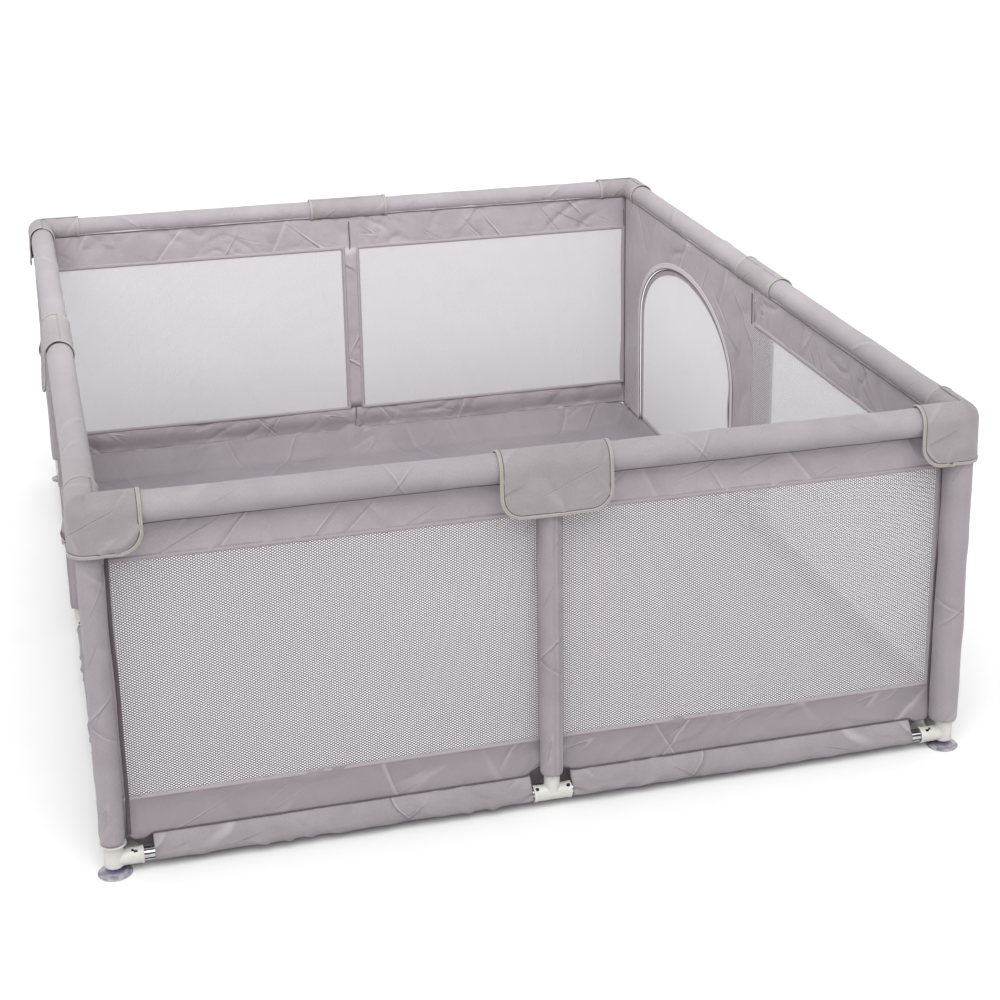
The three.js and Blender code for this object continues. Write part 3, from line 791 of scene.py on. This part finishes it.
# how each kind of sleeve is divided, puffed and creased
padCloth = {
    "rail": {"around": 52, "step": 0.0070, "puff": 0.0004, "crease": 0.0012, "spacing": 0.21, "angle": 0.55, "sharp": 22},
    "sleeve": {"around": 52, "step": 0.0048, "puff": 0.0007, "crease": 0.0034, "spacing": 0.044, "angle": 0.8, "sharp": 5},
    "mid": {"around": 48, "step": 0.0080, "puff": 0.0004, "crease": 0.0012, "spacing": 0.12, "angle": 0.2, "sharp": 9},
    "post": {"around": 52, "step": 0.0080, "puff": 0.0005, "crease": 0.0018, "spacing": 0.15, "angle": 0.3, "sharp": 10},
}


def sleeve(name, length, frameOf, shape, seed, kind):
    # a padded tube: its outside is shaped, and its bore is plain
    look, cuff = padCloth[kind], pads["cuff"]
    us = [s for s in spaced(0, length, look["step"]) if cuff < s < length - cuff]
    us = [0.0, cuff * 0.3, cuff] + us + [length - cuff, length - cuff * 0.3, length]
    full = len(us)
    us = np.array(us + [length, length * 0.5, 0.0, 0.0])

    def place(i, v):
        i = whole(i)
        u = us[i]
        rim = (i == 0) | (i == full - 1) | (i == full + 3)
        near = (i == 1) | (i == full - 2)
        puff = look["puff"]
        wave = puff * ripple(u, np.cos(v) * 0.03, seed, 0.07) + puff * ripple(u, np.sin(v) * 0.03, seed + 1, 0.16)
        fold = look["crease"] * (folds(u, v * 0.02, look["spacing"], look["angle"], seed + 2, look["sharp"]) - 0.25)
        drawn = smooth(0, 0.02, u) * smooth(0, 0.02, length - u)
        radius = shape(v, u) + (wave + fold) * drawn - 0.0008 * (1 - drawn) - 0.0010 * near - 0.0032 * rim
        radius = np.where((i >= full) & (i < full + 3), pads["bore"], radius)
        return frameOf(u, radius * np.cos(v), radius * np.sin(v))

    pad = cloth(name, np.arange(len(us)), np.linspace(0, 2 * math.pi, look["around"] + 1), place,
                lambda i, v: (us[whole(i)], v * 0.022))
    dressed(smoothed(merged(pad)), "post" if kind == "mid" else kind)
    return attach(pad, "root")


def ridged(radius, at, height=0.0011, width=0.07):
    # a round sleeve with a raised seam down one line
    def shape(v, u):
        off = np.angle(np.exp(1j * (v - at)))
        return radius + height * np.exp(-(off / width) ** 2) - height * 0.7 * np.exp(-((np.abs(off) - 0.2) / 0.09) ** 2)
    return shape


def teardrop(v, lift):
    # round a bottom tube, drawn up to the seam with the wall
    # its top edge tucks in behind the band's foot
    rise, back = pen["seamZ"] + lift - pen["baseZ"], pen["seamIn"] + 0.0032
    seam, away = math.atan2(rise, back), math.hypot(rise, back)
    opening = math.acos(pads["baseRadius"] / away)
    off = np.abs(np.angle(np.exp(1j * (v - seam))))
    reach = pads["baseRadius"] / np.cos(np.clip(off, 0, opening) - opening)
    return np.where(off < opening, reach, pads["baseRadius"]) - 0.0004


def makeSleeves(side, seed):
    half = sides[side][2]
    for tag, sign, extra in (("a", -1, 0), ("b", 1, 3)):

        def alongSide(start, height):
            return lambda u, p, q: onSide(side, sign * (start + u), p, height + q)

        x0, x1 = pads["railMidGap"], half - pads["railCornerGap"]
        sleeve(f"{side}_rail_pad_{tag}", x1 - x0, alongSide(x0, pads["railZ"]),
               ridged(pads["railRadius"] - 0.0006, -0.72, 0.0009), seed + extra, "rail")
        x0, x1 = pads["baseMidGap"], half - pads["baseCornerGap"]
        # under the door the sleeve stays below the fold
        lift = -0.0060 if side == "right" and sign > 0 else 0.0045
        sleeve(f"{side}_base_sleeve_{tag}", x1 - x0, alongSide(x0, pen["baseZ"]),
               lambda v, u: teardrop(v, lift), seed + 20 + extra, "sleeve")
    sleeve(f"{side}_mid_post_pad", 0.510, lambda u, p, q: onSide(side, p, q, 0.062 + u),
           ridged(pads["midRadius"] - 0.0006, -1.2, 0.0030, 0.10), seed + 40, "mid")
    # the web that joins the middle post to its wall
    web = cloth(f"{side}_post_web", np.linspace(0.0160, 0.0218, 3), spaced(0.072, 0.570, 0.02),
                lambda y, z: onSide(side, 0.004 + 0.0004 * np.sin(z * 60), y, z))
    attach(dressed(thickened(web, 0.0016), "wall"), "root")


def makeCornerPost(corner, seed):
    radius, stand = pads["cornerRadius"].get(corner, 0.0225), pads["cornerStand"].get(corner, 0.0)
    toWall = 0 if corner in ("front_left", "back_right") else math.pi / 2
    seamed = ridged(radius, 0.1, 0.0012)
    sleeve(f"{corner}_post_pad", 0.517, lambda u, p, q: onCorner(corner, p, q, 0.055 + u),
           lambda v, u: seamed(v, u) + stand * (0.5 + 0.5 * np.cos(v - toWall)), seed, "post")


# rail covers
covers = {
    "outer": 0.0282,        # radius of the flap's shell about the rail
    "inner": 0.0268,        # radius of the facing under it
    "thickness": 0.0011,
    "facingThickness": 0.0009,
    "midHalf": 0.0935,
    "midDrop": 0.0805,
    "midStart": {"front": 11},          # degrees from the rail's top at which the flap starts
    "midShift": {"front": 0.005},
    "arm": {"front_left": 0.0830, "front_right": 0.0850},
    "armDrop": {"front_left": 0.0650, "front_right": 0.0735},
    # where the edge on the rail lies at each end, further in along the front rail
    "armEdge": {"front_left": (34, 34), "front_right": (34, 5)},
    "round": 0.038,
    "bend": 0.30,           # share of a corner cover that goes round the post
    "bindWidth": 0.0062,
    "bindThickness": 0.0030,
    "bindInset": 0.42,      # of the binding's width
    "rowWidth": 0.0016,     # dark line beside the binding: stitching, darkened with painted shade
    "rowThickness": 0.0022,
}


def overRail(w, radius, start, drop, flare, limit=None):
    # a section over the rail: inward offset and height for each distance along the cloth
    arc = radius * (math.radians(start) + math.pi / 2)
    angle = math.radians(start) - np.clip(w, 0, arc) / radius
    if limit is not None:
        angle = np.minimum(angle, np.radians(limit))
    hang = np.clip(w - arc, 0, None)
    y = radius * np.sin(angle) - flare * (hang / drop) ** 1.5
    z = pads["railZ"] + radius * np.cos(angle) - hang
    return y, z, arc


def roundedReach(w, end, full, radius):
    # half width that rounds the lower corners off
    into = np.clip(w - (end - radius), 0, radius)
    return full - radius + np.sqrt(np.clip(radius ** 2 - into ** 2, 0, None))


def coverRows(arc, end, radius):
    turn = np.linspace(0, math.pi / 2, 12)
    return np.concatenate([spaced(0, end - radius, 0.0055)[:-1], end - radius + radius * np.sin(turn)])


def makeMidCover(side, seed):
    start, shift, drop = covers["midStart"].get(side, 9), covers["midShift"].get(side, 0), covers["midDrop"]
    _, _, arc = overRail(np.zeros(1), covers["outer"], start, drop, 0)
    end, half, radius = arc + drop, covers["midHalf"], covers["round"]

    def lie(x, w):
        y, z, _ = overRail(w, covers["outer"], start, drop, 0.004)
        fan = x - (x + 0.02) * (w - arc) * 4.2
        slant = folds(fan, (w - arc) * 0.3, 0.020, 0.0, seed, 2.6, 0.45)
        lift = smooth(0, drop * 0.45, w - arc) * (0.0062 * slant + 0.0014 * ripple(x, w, seed + 3, 0.06))
        lift = lift * (0.35 + 0.65 * smooth(0, 0.014, end - w))
        lump = 0.0012 * smooth(arc * 0.55, arc, w) * smooth(end, arc, w) * ripple(x, w, seed + 5, 0.05)
        return onSide(side, x + shift, y - lift - np.clip(lump, -0.0004, 1), z - 0.0008 * smooth(0.010, 0.0, w))

    flap = cloth(side + "_rail_flap", np.linspace(-1, 1, 81), coverRows(arc, end, radius),
                 lambda s, w: lie(s * roundedReach(w, end, half, radius), w), lambda s, w: (s * half, w))
    dressed(thickened(flap, covers["thickness"]), "cover")
    body = side + "_rail_cover"
    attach(flap, body)
    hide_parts(side + "_rail_cover")
    # binding down one end, along the foot and up the other end
    down = np.stack([np.full(28, half), np.linspace(0, end - radius, 28)], -1)
    turn = np.linspace(0, math.pi / 2, 16)[1:]
    bend = np.stack([half - radius + radius * np.cos(turn), end - radius + radius * np.sin(turn)], -1)
    foot = np.stack([np.linspace(half - radius, -(half - radius), 26)[1:-1], np.full(24, end)], -1)
    line = np.concatenate([down, bend, foot, bend[::-1] * (-1, 1), down[::-1] * (-1, 1)])
    binding = bindingOn(side + "_rail_flap_binding", line, lie)
    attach(binding, body)
    2 * half
    # the facing stays on the rail under the flap and shows on the inside
    length = covers["inner"] * math.radians(78 + 128)

    def facing(x, w):
        angle = math.radians(128) - w / covers["inner"]
        about = covers["inner"] + 0.0005 * ripple(x, w, seed + 9, 0.05)
        return onSide(side, x + shift, about * np.sin(angle), pads["railZ"] + about * np.cos(angle))

    under = cloth(side + "_rail_facing", spaced(-half + 0.001, half - 0.001, 0.007), spaced(0, length, 0.0045), facing)
    dressed(thickened(under, covers["facingThickness"]), "cover")
    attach(under, "root")
    ws = spaced(0, covers["inner"] * math.radians(128 - start), 0.004)
    trims = [bindingOn("trim", np.stack([np.full(len(ws), sign * half), ws], -1), facing, sign) for sign in (-1, 1)]
    trim = dressed(joined(trims, side + "_rail_facing_binding"), "binding")
    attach(trim, "root")
    2 * half


def taped(name, middle, across, out):
    # folded tape along an edge, with a dark line beside it: a stitched row, darkened with painted shade
    tape = ribbon(name, middle, across, out, covers["bindWidth"], covers["bindThickness"])
    beside = middle - across * covers["bindWidth"] * 0.60
    row = ribbon("row", beside, across, out, covers["rowWidth"], covers["rowThickness"])
    return joined([dressed(tape, "binding"), dressed(row, "edge")], name)


def bindingOn(name, line, lie, flip=1):
    # tape over a cloth's edge, from points in the cloth's own two coordinates
    along = np.gradient(line, axis=0)
    along = along / np.maximum(np.linalg.norm(along, axis=1), 1e-9)[:, None]
    side = np.stack([along[:, 1], -along[:, 0]], -1) * flip
    inner = line - side * (covers["bindWidth"] * covers["bindInset"])
    step = side * 0.0012
    middle = lie(*inner.T)
    across = unit(lie(*(inner + step).T) - lie(*(inner - step).T))
    run = np.gradient(middle, axis=0)
    out = unit(np.cross(run, across))
    return taped(name, middle, unit(np.cross(out, run)), out)


def aroundCorner(s, d, arm):
    # s from -1 to 1 runs along one rail, round the post and along the other, at inward offset d
    bend, radius = covers["bend"], 0.003 + np.clip(-d, 0, None)
    centre = np.where(d > 0, d + radius, 0.003)
    straight = np.clip((np.abs(s) - bend) / (1 - bend), 0, 1)
    reach = centre + straight * (arm - centre)
    angle = math.radians(225) + np.clip(s / bend, -1, 1) * math.pi / 4
    around = np.abs(s) < bend
    x = np.where(around, centre + radius * np.cos(angle), np.where(s > 0, reach, d))
    y = np.where(around, centre + radius * np.sin(angle), np.where(s > 0, d, reach))
    return x, y


def makeCornerCover(corner, seed):
    start, drop, reachArm = 34, covers["armDrop"].get(corner, 0.0675), covers["arm"].get(corner, 0.0872)
    near, far = covers["armEdge"].get(corner, (6, 6))
    _, _, arc = overRail(np.zeros(1), covers["outer"], start, drop, 0)
    end, radius, share = arc + drop, covers["round"], covers["bend"]

    def lie(s, w):
        limit = near + (far - near) * smooth(-0.3, 0.3, s)
        d, z, _ = overRail(w, covers["outer"], start, drop, 0.0015, limit)
        apart = smooth(0.25, 0.6, np.abs(s))
        fold = folds(s * 0.10, w * 0.8, 0.036, 0.85, seed, 6.0, 0.5) * 0.0052 + 0.0010 * ripple(s * 0.10, w, seed + 2, 0.06)
        press = 0.0018 * smooth(arc * 0.6, arc, w) * smooth(end, arc + 0.02, w) * apart
        d = d - smooth(0, drop * 0.6, w - arc) * apart * fold + press * 0.4
        return onCorner(corner, *aroundCorner(s, d, roundedReach(w, end, reachArm, radius)), z)

    body = corner + "_cover"
    bend = np.linspace(-share, share, 23)
    ss = np.concatenate([np.linspace(-1, -share, 30)[:-1], bend, np.linspace(share, 1, 30)[1:]])
    flap = cloth(corner + "_flap", ss, coverRows(arc, end, radius), lie, lambda s, w: (s * 0.115, w))
    dressed(thickened(merged(flap, 0.0001), covers["thickness"]), "cover")
    # two points on the rails along the cover's inner edge
    hinge = [onCorner(corner, reach, reach, pads["railZ"] + covers["outer"]) for reach in (0.062, 0.030)]
    tuple(hinge[0])
    tuple(hinge[1])
    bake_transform(flap)
    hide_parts(body)
    # binding down one end, along the foot and up the other end
    down, up = (np.linspace(covers["outer"] * math.radians(start - edge), end - radius, 24) for edge in (far, near))
    turned = end - radius + radius * np.sin(np.linspace(0, math.pi / 2, 14)[1:])
    foot = np.concatenate([np.linspace(1, share, 14)[1:], bend[::-1][1:], np.linspace(-share, -1, 14)[1:-1]])
    runs = ((1, down), (1, turned), (foot, end), (-1, turned[::-1]), (-1, up[::-1]))
    line = np.concatenate([np.stack(np.broadcast_arrays(s, w), -1) for s, w in runs])
    middle = lie(*line.T)
    run = np.gradient(middle, axis=0)
    across = middle - lie(line[:, 0] * 0.93, line[:, 1] - 0.004)
    across = unit(across - run * (np.sum(across * run, 1) / np.sum(run * run, 1))[:, None])
    middle = middle - across * covers["bindWidth"] * covers["bindInset"]
    binding = taped(corner + "_flap_binding", middle, across, unit(np.cross(run, across)))
    tuple(hinge[0])
    tuple(hinge[1])
    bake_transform(binding)
    # facing on the inside of both rails
    length = covers["inner"] * math.radians(60 + 124)

    def facing(s, w):
        angle = math.radians(124) - w / covers["inner"]
        about = covers["inner"] + 0.0006 * ripple(s * 0.1, w, seed + 9, 0.04)
        x, y = aroundCorner(s, about * np.sin(angle), reachArm - 0.001)
        return onCorner(corner, x, y, pads["railZ"] + about * np.cos(angle))

    under = cloth(corner + "_facing", ss, spaced(0, length, 0.0045), facing, lambda s, w: (s * 0.10, w))
    dressed(thickened(merged(under, 0.0001), covers["facingThickness"]), "cover")
    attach(under, "root")
    trims = []
    for sign, edge in ((-1, near), (1, far)):
        ws = spaced(0, covers["inner"] * math.radians(124 - edge), 0.004)
        rim = facing(np.full(len(ws), float(sign)), ws)
        across = unit(rim - facing(np.full(len(ws), sign * 0.95), ws))
        out = unit(np.cross(np.gradient(rim, axis=0), across))
        trims.append(ribbon("trim", rim - across * covers["bindWidth"] * covers["bindInset"], across, out,
                            covers["bindWidth"], 0.0026))
    trim = dressed(joined(trims, corner + "_facing_binding"), "binding")
    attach(trim, "root")


# floor
floorCloth = {
    "halfX": 0.7146, "halfY": 0.8896,
    "rise": 0.0515,         # its edge curls up to the seam
    "curl": 0.060,          # within this much of the edge
    "lift": 0.0032,
    "corner": 0.024,
    "fine": [0, 0.004, 0.009, 0.015, 0.022, 0.030, 0.038, 0.047, 0.058, 0.072, 0.09],   # closer rows by the edge
}


def makeFloor():
    hx, hy, r = floorCloth["halfX"], floorCloth["halfY"], floorCloth["corner"]
    fine = np.array(floorCloth["fine"])

    def lines(half):
        return np.concatenate([-half + fine, spaced(-half + 0.105, half - 0.105, 0.014), (half - fine)[::-1]])

    def place(x, y):
        ax, ay = np.abs(x), np.abs(y)
        gap, sideways = np.minimum(hx - ax, hy - ay), hx - ax < hy - ay
        up = smooth(floorCloth["curl"], 0.0, gap) ** 1.4
        wrinkle = folds(np.where(sideways, y, x), gap * 0.6, 0.045, 0.5, 301, 2.2, 0.5) * smooth(0.09, 0.03, gap)
        z = floorCloth["lift"] + floorCloth["rise"] * up + 0.0048 * wrinkle * (1 - up * 0.6)
        z = z + 0.0013 * (1 + ripple(x, y, 305, 0.5)) * smooth(0.02, 0.1, gap)
        z = z + 0.0016 * folds(x, y, 0.23, 0.8, 309, 10.0, 0.6) * smooth(0.03, 0.12, gap)
        z = z + up ** 2 * np.where(sideways, footOf("right", y * 0.95), footOf("front", x * 0.95))
        push = 0.003 * wrinkle * up
        # the corners are rounded off
        dx, dy = np.clip(ax - (hx - r), 0, None), np.clip(ay - (hy - r), 0, None)
        away = np.hypot(dx, dy)
        pulled = 1 - np.where(away > 1e-9, np.maximum(dx, dy) / np.maximum(away, 1e-9), 1)
        return np.stack([np.sign(x) * (ax - dx * pulled - push), np.sign(y) * (ay - dy * pulled - push), z], -1)

    floor = dressed(thickened(cloth("floor_cloth", lines(hx), lines(hy), place), 0.0016, 1.0), "floor")
    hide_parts("floor_sheet")
    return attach(floor, "root")


# connectors
plastic = {
    "armRadius": 0.0135, "cornerArm": 0.047, "teeArm": 0.033,
    "bore": 0.0114, "boreDepth": 0.029,
    "elbowBarrel": 0.0155, "elbowTop": 0.0545, "teeBarrel": 0.0135, "teeTop": 0.064,
    "flange": 0.0215, "flangeDepth": 0.0022,
    "collar": 0.0009, "collarLength": 0.004,
    "hole": 0.0031, "holeTilt": 60, "elbowHole": 0.034, "teeHole": 0.027,
    "voxel": 0.00085,
}


def rod(radius, length, start, direction, around=40):
    # a cylinder from a point along a direction
    direction = Vector(direction).normalized()
    clearSelection()
    bpy.ops.mesh.primitive_cylinder_add(vertices=around, radius=radius, depth=length,
                                        location=Vector(start) + direction * length / 2,
                                        rotation=direction.to_track_quat("Z", "Y").to_euler())
    piece = bpy.context.object
    bpy.ops.object.transform_apply(location=True, rotation=True, scale=True)
    return piece


def cut(piece, tool, operation="DIFFERENCE"):
    applied(piece, "BOOLEAN", operation=operation, object=tool, solver="EXACT")
    gone(tool)


def connector(name, directions, arm, barrel, top, flange, holes):
    # moulded hub: a barrel with socket arms, made one and softened
    z, r, thin = pen["baseZ"], plastic["armRadius"], plastic["flangeDepth"]
    foot = r * 0.9 if flange else 0

    def socketRod(radius, length, start, direction):
        return rod(radius, length, Vector((*direction, 0)) * start + Vector((0, 0, z)), (*direction, 0))

    hub = rod(barrel, top - z + foot, (0, 0, z - foot), (0, 0, 1))
    for way in directions:
        cut(hub, socketRod(r, arm, 0, way), "UNION")
        # a low collar round the socket's mouth
        cut(hub, socketRod(r + plastic["collar"], plastic["collarLength"], arm - 0.0045, way), "UNION")
    if flange:
        cut(hub, rod(flange, thin, (0, 0, top - thin), (0, 0, 1), 56), "UNION")
        cut(hub, rod(r, 0.003, (0, 0, z - r), (0, 0, 1)), "UNION")
    for way in directions:
        cut(hub, socketRod(plastic["bore"], plastic["boreDepth"] + 0.001, arm - plastic["boreDepth"], way))
    # two holes high on the outer side of each arm
    tilt = math.radians(plastic["holeTilt"])
    for (x, y), (ox, oy), reach in holes:
        way = Vector((ox * math.cos(tilt), oy * math.cos(tilt), math.sin(tilt)))
        spot = Vector((x, y, 0)) * reach + Vector((0, 0, z)) + way * r
        cut(hub, rod(plastic["hole"], 0.010, spot - way * 0.004, way, 24))
    applied(hub, "REMESH", mode="VOXEL", voxel_size=plastic["voxel"], use_smooth_shade=True)
    applied(hub, "SMOOTH", factor=0.5, iterations=4)
    applied(hub, "DECIMATE", ratio=0.5)
    return settle(smoothed(hub), name)


def placedCopy(source, name, move):
    # a copy with its own mesh, moved point by point
    piece = source.copy()
    piece.data = source.data.copy()
    bpy.context.scene.collection.objects.link(piece)
    piece.data.vertices.foreach_set("co", np.asarray(move(*pointsOf(piece.data).T), float).ravel())
    piece.data.update()
    return named(piece, name)


def makeConnectors():
    p = plastic
    elbow = connector("elbowPattern", [(1, 0), (0, 1)], p["cornerArm"], p["elbowBarrel"], p["elbowTop"], p["flange"],
                      [((1, 0), (0, -1), p["elbowHole"]), ((0, 1), (-1, 0), p["elbowHole"])])
    tee = connector("teePattern", [(1, 0), (-1, 0)], p["teeArm"], p["teeBarrel"], p["teeTop"], None,
                    [((1, 0), (0, -1), p["teeHole"]), ((-1, 0), (0, -1), p["teeHole"])])
    for places, pattern, spotOf, node in ((corners, elbow, onCorner, "_elbow"), (sides, tee, onSide, "_tee")):
        for place in places:
            piece = placedCopy(pattern, place + "_connector", lambda x, y, z: spotOf(place, x, y, z))
            dressed(piece, "plastic")
            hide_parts(place + node)
            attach(piece, "root")
    gone(elbow, tee)


def makeTubes():
    # bare bottom tubes, seen between the elbows and the sleeves
    wall = 0.0012
    for side, (_, _, half) in sides.items():
        x0, x1 = 0.0065, half - 0.0175
        for tag, sign in (("a", -1), ("b", 1)):
            tube = rod(0.011, x1 - x0, (x0, 0, 0), (1, 0, 0), 48)
            # the caps go in two steps, so that both ends are left open
            for inset in (wall, 0):
                selectFaces(tube, lambda n: abs(n.x) > 0.9)
                if inset:
                    bpy.ops.mesh.inset(thickness=inset)
                bpy.ops.mesh.delete(type="FACE")
                mode("OBJECT")
                tube.data.update()
            smoothed(applied(tube, "SOLIDIFY", thickness=wall, offset=-1.0), 40)
            piece = placedCopy(tube, f"{side}_bottom_tube_{tag}",
                               lambda x, y, z: onSide(side, sign * x, sign * y, z + pen["baseZ"]))
            gone(tube)
            dressed(piece, "tube")
            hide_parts(f"{side}_base_tube_{tag}")
            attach(piece, "root")


# half section spun about the stud, from the hollow underneath up to the neck
cup = {
    "outline": [(0.0, 0.0042), (0.012, 0.0034), (0.021, 0.0013), (0.0265, 0.0002), (0.0280, 0.0004), (0.0279, 0.0014),
                (0.0250, 0.0026), (0.0200, 0.0043), (0.0150, 0.0068), (0.0115, 0.0092), (0.0100, 0.0106),
                (0.0096, 0.0120), (0.0060, 0.0121), (0.0041, 0.0122), (0.0040, 0.0160), (0.0030, 0.0164), (0.0, 0.0165)],
    "steps": 48,
}


def makeCups():
    outline = cup["outline"]
    clearSelection()
    bpy.ops.mesh.primitive_plane_add(size=0.002)
    piece = bpy.context.object
    mode("EDIT")
    bpy.ops.mesh.select_mode(type="VERT")
    bpy.ops.mesh.select_all(action="SELECT")
    bpy.ops.mesh.merge(type="CENTER")
    mode("OBJECT")
    piece.data.vertices[0].co = (outline[0][0], 0, outline[0][1])
    for (r0, z0), (r1, z1) in zip(outline, outline[1:]):
        mode("EDIT")
        bpy.ops.mesh.extrude_vertices_move(TRANSFORM_OT_translate={"value": (r1 - r0, 0, z1 - z0)})
        mode("OBJECT")
    mode("EDIT")
    bpy.ops.mesh.select_all(action="SELECT")
    bpy.ops.mesh.spin(steps=cup["steps"], angle=2 * math.pi, center=(0, 0, 0), axis=(0, 0, 1))
    mode("OBJECT")
    smoothed(applied(merged(piece, 0.00004), "SUBSURF", levels=1, render_levels=1))
    for corner in corners:
        made = placedCopy(piece, corner + "_cup", lambda x, y, z: onCorner(corner, x, y, z))
        dressed(made, "cup")
        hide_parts(corner + "_suction_cup")
        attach(made, corner + "_suction_cup")
    gone(piece)


def blockOf(node):
    # a block that fills a CAD node's box
    low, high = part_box(node)
    size, middle = high - low, (low + high) / 2
    clearSelection()
    bpy.ops.mesh.primitive_cube_add(size=1, location=middle)
    block = bpy.context.object
    block.scale = size
    bpy.ops.object.transform_apply(location=True, rotation=True, scale=True)
    return block, low, size, middle


def zipPart(block, node, name, width, segments):
    applied(block, "BEVEL", width=width, segments=segments, limit_method="ANGLE")
    dressed(settle(smoothed(block, 35), name), "slider")
    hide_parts(node)
    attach(block, node)


def makeZipPull():
    # slider body: two plates on a neck, and a hanging pull with an eye
    slider, _, size, middle = blockOf("zip_slider")
    selectFaces(slider, lambda n: abs(n.z) > 0.9)
    bpy.ops.mesh.inset(thickness=size.x * 0.12)
    bpy.ops.transform.resize(value=(0.8, 0.7, 1), center_override=tuple(middle))
    mode("OBJECT")
    selectFaces(slider, lambda n: abs(n.y) > 0.9)
    bpy.ops.mesh.inset(thickness=size.z * 0.16, depth=-size.y * 0.10)
    mode("OBJECT")
    zipPart(slider, "zip_slider", "zip_slider_body", 0.0009, 3)
    pull, low, size, middle = blockOf("zip_pull")
    mode("EDIT")
    bpy.ops.mesh.select_all(action="SELECT")
    bpy.ops.mesh.subdivide(number_cuts=3)
    mode("OBJECT")
    for vertex in pull.data.vertices:
        t = (vertex.co.z - low.z) / size.z
        vertex.co.y = middle.y + (vertex.co.y - middle.y) * (0.72 + 0.28 * math.cos(math.pi * t))
    cut(pull, rod(size.y * 0.2, size.x * 3, (middle.x - size.x * 1.5, middle.y, low.z + size.z * 0.22), (1, 0, 0), 24))
    zipPart(pull, "zip_pull", "zip_pull_tab", 0.0005, 2)


# building
for number, side in enumerate(sides):
    makeSleeves(side, 100 + 50 * number)
print("sleeves done")
for number, corner in enumerate(corners):
    makeCornerPost(corner, 400 + 10 * number)

for side, seed, reach, gap in (("front", 500, 0.695, "postHalf"), ("back", 540, 0.695, "farPostHalf"),
                               ("left", 580, 0.868, "postHalf")):
    makeWall(side, seed, [(-reach, -walls[gap]), (walls[gap], reach)])
makeWall("right", 620, [(-0.868, -walls["postHalf"])], panelRoundDoor(660))
print("walls done")

# a second net layer backs the right wall beside its middle post
layer = cloth("right_net_lining", spaced(-0.122, -0.012, 0.01), spaced(walls["netBottom"], walls["netTop"], 0.02),
              lambda x, z: onSide("right", x, pen["wallIn"] + 0.0026 + 0.0005 * ripple(x, z, 9, 0.1), z),
              lambda x, z: (x * 1.06, z * 1.03))
dressed(smoothed(layer), "net")
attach(layer, "root")

makeDoor()
print("door done")
for number, side in enumerate(sides):
    makeMidCover(side, 700 + 20 * number)
for number, corner in enumerate(corners):
    makeCornerCover(corner, 800 + 20 * number)
print("covers done")
makeFloor()
makeConnectors()
makeTubes()
makeCups()
makeZipPull()
print("connectors, tubes and cups done")

for name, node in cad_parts.items():
    steel = "spring" if "button_clip" in name else "hiddenTube" if "tube" in name or "post" in name else None
    if steel:
        node.data.materials.clear()
        node.data.materials.append(finishes[steel])

# studio
studio = {"lens": 70.42, "place": (-0.789, -3.705, 1.735), "yaw": -15.72, "pitch": 18.27, "roll": -0.42,
          "shift": (-0.049, -0.129), "world": 1.0, "sun": 2.6, "sunSize": 55, "sunFrom": (-0.20, -0.75, 1.0),
          "over": 10.5, "overSize": (1.3, 0.5), "overPlace": (-0.05, -0.12, 1.42), "overTo": (0.08, 0.9, 0.30)}
clearSelection()
bpy.ops.mesh.primitive_plane_add(size=60)
ground = bpy.context.object
ground.name = "studio_floor"
paper = Finish("studioPaper", Roughness=0.9, Specular_IOR_Level=0.1)
speckle = paper.noise(paper.solidSpot(), 3.0, 2.0)
paper.feed(Base_Color=paper.mixed(speckle, tint(217, 217, 217), tint(220, 220, 220)))
ground.data.materials.append(paper.material)

scene = bpy.context.scene
scene.view_settings.view_transform = "Standard"
world = bpy.data.worlds.new("studio")
scene.world = world
world.use_nodes = True
sky = world.node_tree.nodes["Background"].inputs
sky["Color"].default_value = (1, 1, 1, 1)
sky["Strength"].default_value = studio["world"]


def lamp(name, kind, energy, way, place=(0, 0, 0)):
    light = bpy.data.lights.new(name, kind)
    light.energy = energy
    holder = bpy.data.objects.new(name, light)
    scene.collection.objects.link(holder)
    holder.location = place
    holder.rotation_euler = way.to_track_quat("-Z", "Y").to_euler()
    return holder


sun = lamp("sun", "SUN", studio["sun"], -Vector(studio["sunFrom"]))
sun.data.angle = math.radians(studio["sunSize"])
# soft box above the pen
over = lamp("over", "AREA", studio["over"], Vector(studio["overTo"]) - Vector(studio["overPlace"]), studio["overPlace"])
over.data.shape = "RECTANGLE"
over.data.size, over.data.size_y = studio["overSize"]
over.visible_camera = False

lens = bpy.data.cameras.new("camera")
lens.lens = studio["lens"]
lens.sensor_width = 36
lens.shift_x, lens.shift_y = studio["shift"]
camera = bpy.data.objects.new("camera", lens)
scene.collection.objects.link(camera)
yaw, pitch, roll = (math.radians(studio[k]) for k in ("yaw", "pitch", "roll"))
forward = Vector((-math.sin(yaw) * math.cos(pitch), math.cos(yaw) * math.cos(pitch), -math.sin(pitch)))
level = Vector((math.cos(yaw), math.sin(yaw), 0))
upright = level.cross(forward)
rightward = level * math.cos(roll) + upright * math.sin(roll)
upward = upright * math.cos(roll) - level * math.sin(roll)
turned = Matrix((rightward, upward, -forward)).transposed().to_4x4()
camera.matrix_world = Matrix.Translation(studio["place"]) @ turned
scene.camera = camera

print("scene ready")
